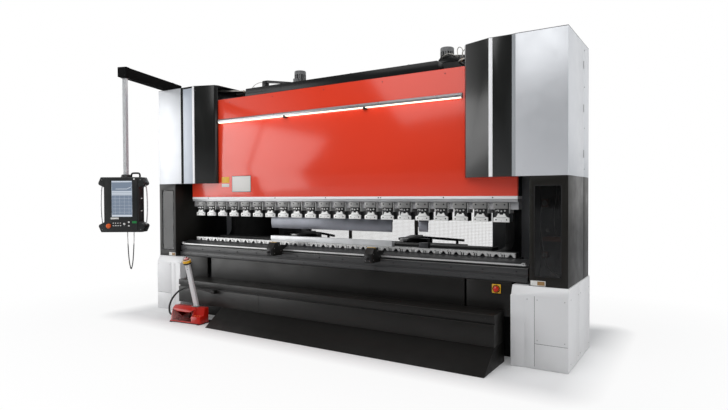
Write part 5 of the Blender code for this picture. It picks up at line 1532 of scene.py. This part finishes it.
def makeFootSwitch():
    facts = footLook
    place = footMatrix()
    pedal, ribs, sole, gland, screws, lamps = (bmesh.new() for _ in range(6))
    left, right = facts["opening"]
    addProfile(pedal,
               [(-0.104, 0.0205), (0.080, 0.0205), (0.080, 0.066), (0.040, 0.062), (-0.096, 0.036),
                (-0.104, 0.030)], "x", (left + 0.012, right - 0.012), place)
    for index in range(facts["ribs"]):
        y = -0.088 + index * 0.016
        z = 0.0375 + index * 0.0031
        addBlock(ribs, (left + 0.024, y - 0.003, z - 0.003), (right - 0.024, y + 0.003, z + 0.0022),
                 place)
    addBlock(sole, (facts["left"] - 0.002, -facts["deep"] - 0.002, 0.0002),
             (facts["right"] + 0.002, facts["deep"] + 0.001, 0.009), place)
    lug = facts["lug"]
    for x in facts["lugX"]:
        addBlock(sole, (x - 0.016, lug - 0.014, 0.0002), (x + 0.016, lug + 0.004, 0.007), place)
        addScrew(screws, (x, lug - 0.006, 0.007), toTop, 0.005, 0.003, place)
    addTurned(gland, [(0.0125, 0.0), (0.0185, 0.0), (0.0195, 0.004), (0.0195, 0.018), (0.0215, 0.020),
                      (0.0215, 0.036),
                      (0.0125, 0.036), (0.0125, 0.0)],
              place @ towards((facts["left"] - 0.0338, 0.0, 0.045), (1.0, 0.0, 0.0)), 6)
    for x, y in facts["screws"]:
        addScrew(screws, (x, y, 0.185), toTop, 0.0055, 0.0022, place)
    for x in facts["lampX"]:
        addTurned(lamps, [(0.0, 0.005), (0.007, 0.005), (0.009, 0.003), (0.009, -0.002), (0.0, -0.002)],
                  place @ towards((x, -0.086, 0.0915), (0.0, -0.12, 0.99)), 14)
    finishAll("frame", [
        ("footPedal", pedal, "pedalRed", "signal_red", 0.003),
        ("footPedalRibs", ribs, "rubberBlack", "rubber", 0.0008),
        ("footSole", sole, "rubberBlack", "rubber", 0.0015),
        ("footGlandNut", gland, "holderBlack", "rubber"),
        ("footScrews", screws, "screwDark", "frame_black"),
        ("footLamps", lamps, "buttonOrange", "signal_red"),
    ])
    stand = standMatrix()
    head, button, collar, base = (bmesh.new() for _ in range(4))
    high = facts["standHigh"]
    addTurned(head, [(0.0, high + 0.0455), (0.040, high + 0.0455), (0.0465, high + 0.041),
                     (0.0468, high + 0.012),
                     (0.045, high + 0.010), (0.0, high + 0.010)], stand, 32)
    addTurned(collar, [(0.0, high + 0.0105), (0.0466, high + 0.0105), (0.0468, high - 0.0075),
                       (0.042, high - 0.0125), (0.0, high - 0.0125)], stand, 32)
    addTurned(button, [(0.0, high + 0.068), (0.014, high + 0.067), (0.025, high + 0.062),
                       (0.0285, high + 0.055),
                       (0.027, high + 0.050), (0.016, high + 0.050), (0.016, high + 0.044),
                       (0.0, high + 0.044)], stand, 28)
    addTurned(collar, [(0.0162, high + 0.0455), (0.036, high + 0.0455), (0.036, high + 0.048),
                       (0.0162, high + 0.048),
                       (0.0162, high + 0.0455)], stand, 28)
    addBlock(base, (-0.050, -0.036, 0.1848), (0.050, 0.030, 0.1905),
             place @ Matrix.Translation((*facts["stand"], 0.0)))
    bolts = bmesh.new()
    for x in facts["boltX"]:
        for y in facts["boltY"]:
            addScrew(bolts, (facts["stand"][0] + x, facts["stand"][1] + y, 0.1905), toTop, 0.0045,
                     0.003, place)
    for z in facts["clampZ"]:
        addScrew(bolts, (0.0, -0.014, z), toFront, 0.005, 0.0025, stand)
    finishAll("frame", [
        ("stopHead", head, "plugYellow", "yellow"),
        ("stopButton", button, "buttonRed", "signal_red"),
        ("stopCollar", collar, "holderBlack", "frame_black"),
        ("standFoot", base, "capSteel", "bright_steel", 0.0012),
        ("standBolts", bolts, "screwDark", "frame_black"),
    ])


makeFootSwitch()
print("foot switch made")

# Mesh guard across the rear
guard = {"plane": 1.460, "thick": 0.040, "half": 1.44, "low": 0.25, "top": 1.95, "header": 2.30,
         "posts": (-0.70, 0.345), "border": 0.035, "pitch": 0.018, "wire": 0.0024,
         "hinges": (0.45, 1.10, 1.75)}


def makeGuard():
    facts = guard
    bars, wires, hinges = bmesh.new(), bmesh.new(), bmesh.new()
    front, back = facts["plane"], facts["plane"] + facts["thick"]
    edge, half, low, top = (facts[key] for key in ("border", "half", "low", "top"))
    addBlock(bars, (-half, front, low), (half, back, low + edge))
    addBlock(bars, (-half, front, top - edge), (half, back, facts["header"]))
    addBlock(bars, (-half, front, low), (-half + edge, back, top))
    addBlock(bars, (half - edge, front, low), (half, back, top))
    for post in facts["posts"]:
        addBlock(bars, (post - edge / 2, front, low), (post + edge / 2, back, top))
        for z in facts["hinges"]:
            addRod(hinges, (post, back + 0.004, z - 0.04), (post, back + 0.004, z + 0.04), 0.009, 14)
            addBlock(hinges, (post - 0.040, back - 0.001, z - 0.035),
                     (post + 0.040, back + 0.003, z + 0.035))
    for start, end in ((-half, facts["posts"][0]), tuple(facts["posts"]), (facts["posts"][1], half)):
        middle = (start + end) / 2
        addBlock(hinges, (middle - 0.30, back - 0.001, 2.06), (middle + 0.30, back + 0.002, 2.20))
    middle = (front + back) / 2
    w = facts["wire"] / 2
    count = int((2 * half - 2 * edge) / facts["pitch"])
    for index in range(count):
        x = -half + edge + (index + 0.5) * (2 * half - 2 * edge) / count
        addBlock(wires, (x - w, middle - w, low + edge / 2), (x + w, middle + w, top - edge / 2))
    count = int((top - low - 2 * edge) / facts["pitch"])
    for index in range(count):
        z = low + edge + (index + 0.5) * facts["pitch"]
        addBlock(wires, (-half + edge / 2, middle - w * 0.8, z - w),
                 (half - edge / 2, middle + w * 0.8, z + w))
    pieces = [
        finishPiece("guardFrame", bars, "guardSteel", "frame", bevel=0.002),
        finishPiece("guardWires", wires, "meshWire", "frame", smooth=0.0),
        finishPiece("guardHinges", hinges, "screwDark", "frame", bevel=0.0008),
    ]
    for piece in pieces:
        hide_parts("rear_guard")


makeGuard()
print("guard woven")

# Light
lampLooks = {
    "leftCard": {"place": (-7.5, -4.5, 2.3), "aim": (-1.0, 0.0, 1.4), "size": (6.0, 5.0),
                 "power": 270.0},
    "topCard": {"place": (1.0, -5.0, 6.5), "aim": (0.0, 0.0, 1.2), "size": (7.0, 4.0), "power": 225.0},
    "rightCard": {"place": (9.0, 0.5, 2.8), "aim": (2.6, 0.2, 1.4), "size": (6.0, 5.0), "power": 215.0},
}
studio = {"level": (0.31, 0.32, 0.335), "seen": 1.0, "dark": 0.05, "left": (-0.62, -0.90),
          "rear": (0.05, 0.40), "up": (0.45, 0.95)}
floorLook = {"half": 60.0, "low": -0.0015, "colour": (0.92, 0.92, 0.92), "middle": (0.0, 0.35, 0.0),
             "print": (2.60, 1.05, 10.0), "near": (0.0, 0.38), "nearShare": (0.06, 0.88),
             "far": (0.38, 2.4), "farShare": (0.0, 0.12)}


def addLamp(name, look):
    data = bpy.data.lights.new(name, "AREA")
    data.shape = "RECTANGLE"
    data.size, data.size_y = look["size"]
    data.energy = look["power"]
    lamp = bpy.data.objects.new(name, data)
    lamp.location = look["place"]
    aim = Vector(look["aim"]) - Vector(look["place"])
    lamp.rotation_euler = aim.to_track_quat("-Z", "Y").to_euler()
    lamp.visible_camera = False
    scene.collection.objects.link(lamp)


def largest(tree, values):
    found = values[0]
    for value in values[1:]:
        node = tree.nodes.new("ShaderNodeMath")
        node.operation = "MAXIMUM"
        tree.links.new(found, node.inputs[0])
        tree.links.new(value, node.inputs[1])
        found = node.outputs[0]
    return found


def addWorld(look):
    # pale backdrop for the camera and glass; mirrors see it at the left, behind and above, and a dark
    # room in front
    world = bpy.data.worlds.new("studio")
    world.use_nodes = True
    tree = world.node_tree
    tree.nodes.clear()
    output = tree.nodes.new("ShaderNodeOutputWorld")
    plain, mirrored, white = (tree.nodes.new("ShaderNodeBackground") for _ in range(3))
    plain.inputs["Color"].default_value = (*look["level"], 1.0)
    white.inputs["Color"].default_value = (1.0, 1.0, 1.0, 1.0)
    white.inputs["Strength"].default_value = look["seen"]
    mirrored.inputs["Color"].default_value = (1.0, 1.0, 1.0, 1.0)
    place = tree.nodes.new("ShaderNodeTexCoord")
    parts = tree.nodes.new("ShaderNodeSeparateXYZ")
    tree.links.new(place.outputs["Generated"], parts.inputs[0])
    shares = [spread(tree, parts.outputs[axis], look["dark"], look["seen"], *look[side])
              for axis, side in (("X", "left"), ("Y", "rear"), ("Z", "up"))]
    tree.links.new(largest(tree, shares), mirrored.inputs["Strength"])
    path = tree.nodes.new("ShaderNodeLightPath")
    glossy, seen = tree.nodes.new("ShaderNodeMixShader"), tree.nodes.new("ShaderNodeMixShader")
    tree.links.new(path.outputs["Is Glossy Ray"], glossy.inputs["Fac"])
    tree.links.new(plain.outputs[0], glossy.inputs[1])
    tree.links.new(mirrored.outputs[0], glossy.inputs[2])
    direct = largest(tree, [path.outputs["Is Camera Ray"], path.outputs["Is Transmission Ray"]])
    tree.links.new(direct, seen.inputs["Fac"])
    tree.links.new(glossy.outputs[0], seen.inputs[1])
    tree.links.new(white.outputs[0], seen.inputs[2])
    tree.links.new(seen.outputs[0], output.inputs["Surface"])
    scene.world = world


def addFloor(look):
    shape = bmesh.new()
    bmesh.ops.create_grid(shape, x_segments=1, y_segments=1, size=look["half"],
                          matrix=Matrix.Translation((0.0, 0.0, look["low"])))
    mesh = bpy.data.meshes.new("studioFloor")
    shape.to_mesh(mesh)
    shape.free()
    material, tree, shader = newMaterial("floorWhite")
    shader.inputs["Base Color"].default_value = (*look["colour"], 1.0)
    shader.inputs["Roughness"].default_value = 0.6
    glow = tree.nodes.new("ShaderNodeEmission")
    glow.inputs["Color"].default_value = (1.0, 1.0, 1.0, 1.0)
    glow.inputs["Strength"].default_value = 1.0
    # the distance from the machine's footprint: close to it the floor keeps the whole shadow
    vector = objectPattern(tree)
    for operation, amount in (("SUBTRACT", look["middle"]), ("ABSOLUTE", None),
                              ("SUBTRACT", look["print"]),
                              ("MAXIMUM", (0.0, 0.0, 0.0)), ("LENGTH", None)):
        step = tree.nodes.new("ShaderNodeVectorMath")
        step.operation = operation
        tree.links.new(vector, step.inputs[0])
        if amount is not None:
            step.inputs[1].default_value = amount
        vector = step.outputs["Value" if operation == "LENGTH" else "Vector"]
    near = spread(tree, vector, *look["nearShare"], *look["near"])
    beyond = spread(tree, vector, *look["farShare"], *look["far"])
    total = tree.nodes.new("ShaderNodeMath")
    tree.links.new(near, total.inputs[0])
    tree.links.new(beyond, total.inputs[1])
    far = total.outputs[0]
    path = tree.nodes.new("ShaderNodeLightPath")
    share = tree.nodes.new("ShaderNodeMath")
    share.operation = "MULTIPLY"
    tree.links.new(path.outputs["Is Camera Ray"], share.inputs[0])
    tree.links.new(far, share.inputs[1])
    mix = tree.nodes.new("ShaderNodeMixShader")
    output = tree.nodes["Material Output"]
    tree.links.new(share.outputs[0], mix.inputs["Fac"])
    tree.links.new(shader.outputs[0], mix.inputs[1])
    tree.links.new(glow.outputs[0], mix.inputs[2])
    tree.links.new(mix.outputs[0], output.inputs["Surface"])
    mesh.materials.append(material)
    floor = bpy.data.objects.new("studioFloor", mesh)
    scene.collection.objects.link(floor)


for lampName, lampLook in lampLooks.items():
    addLamp(lampName, lampLook)
addWorld(studio)
addFloor(floorLook)
print("studio lit")
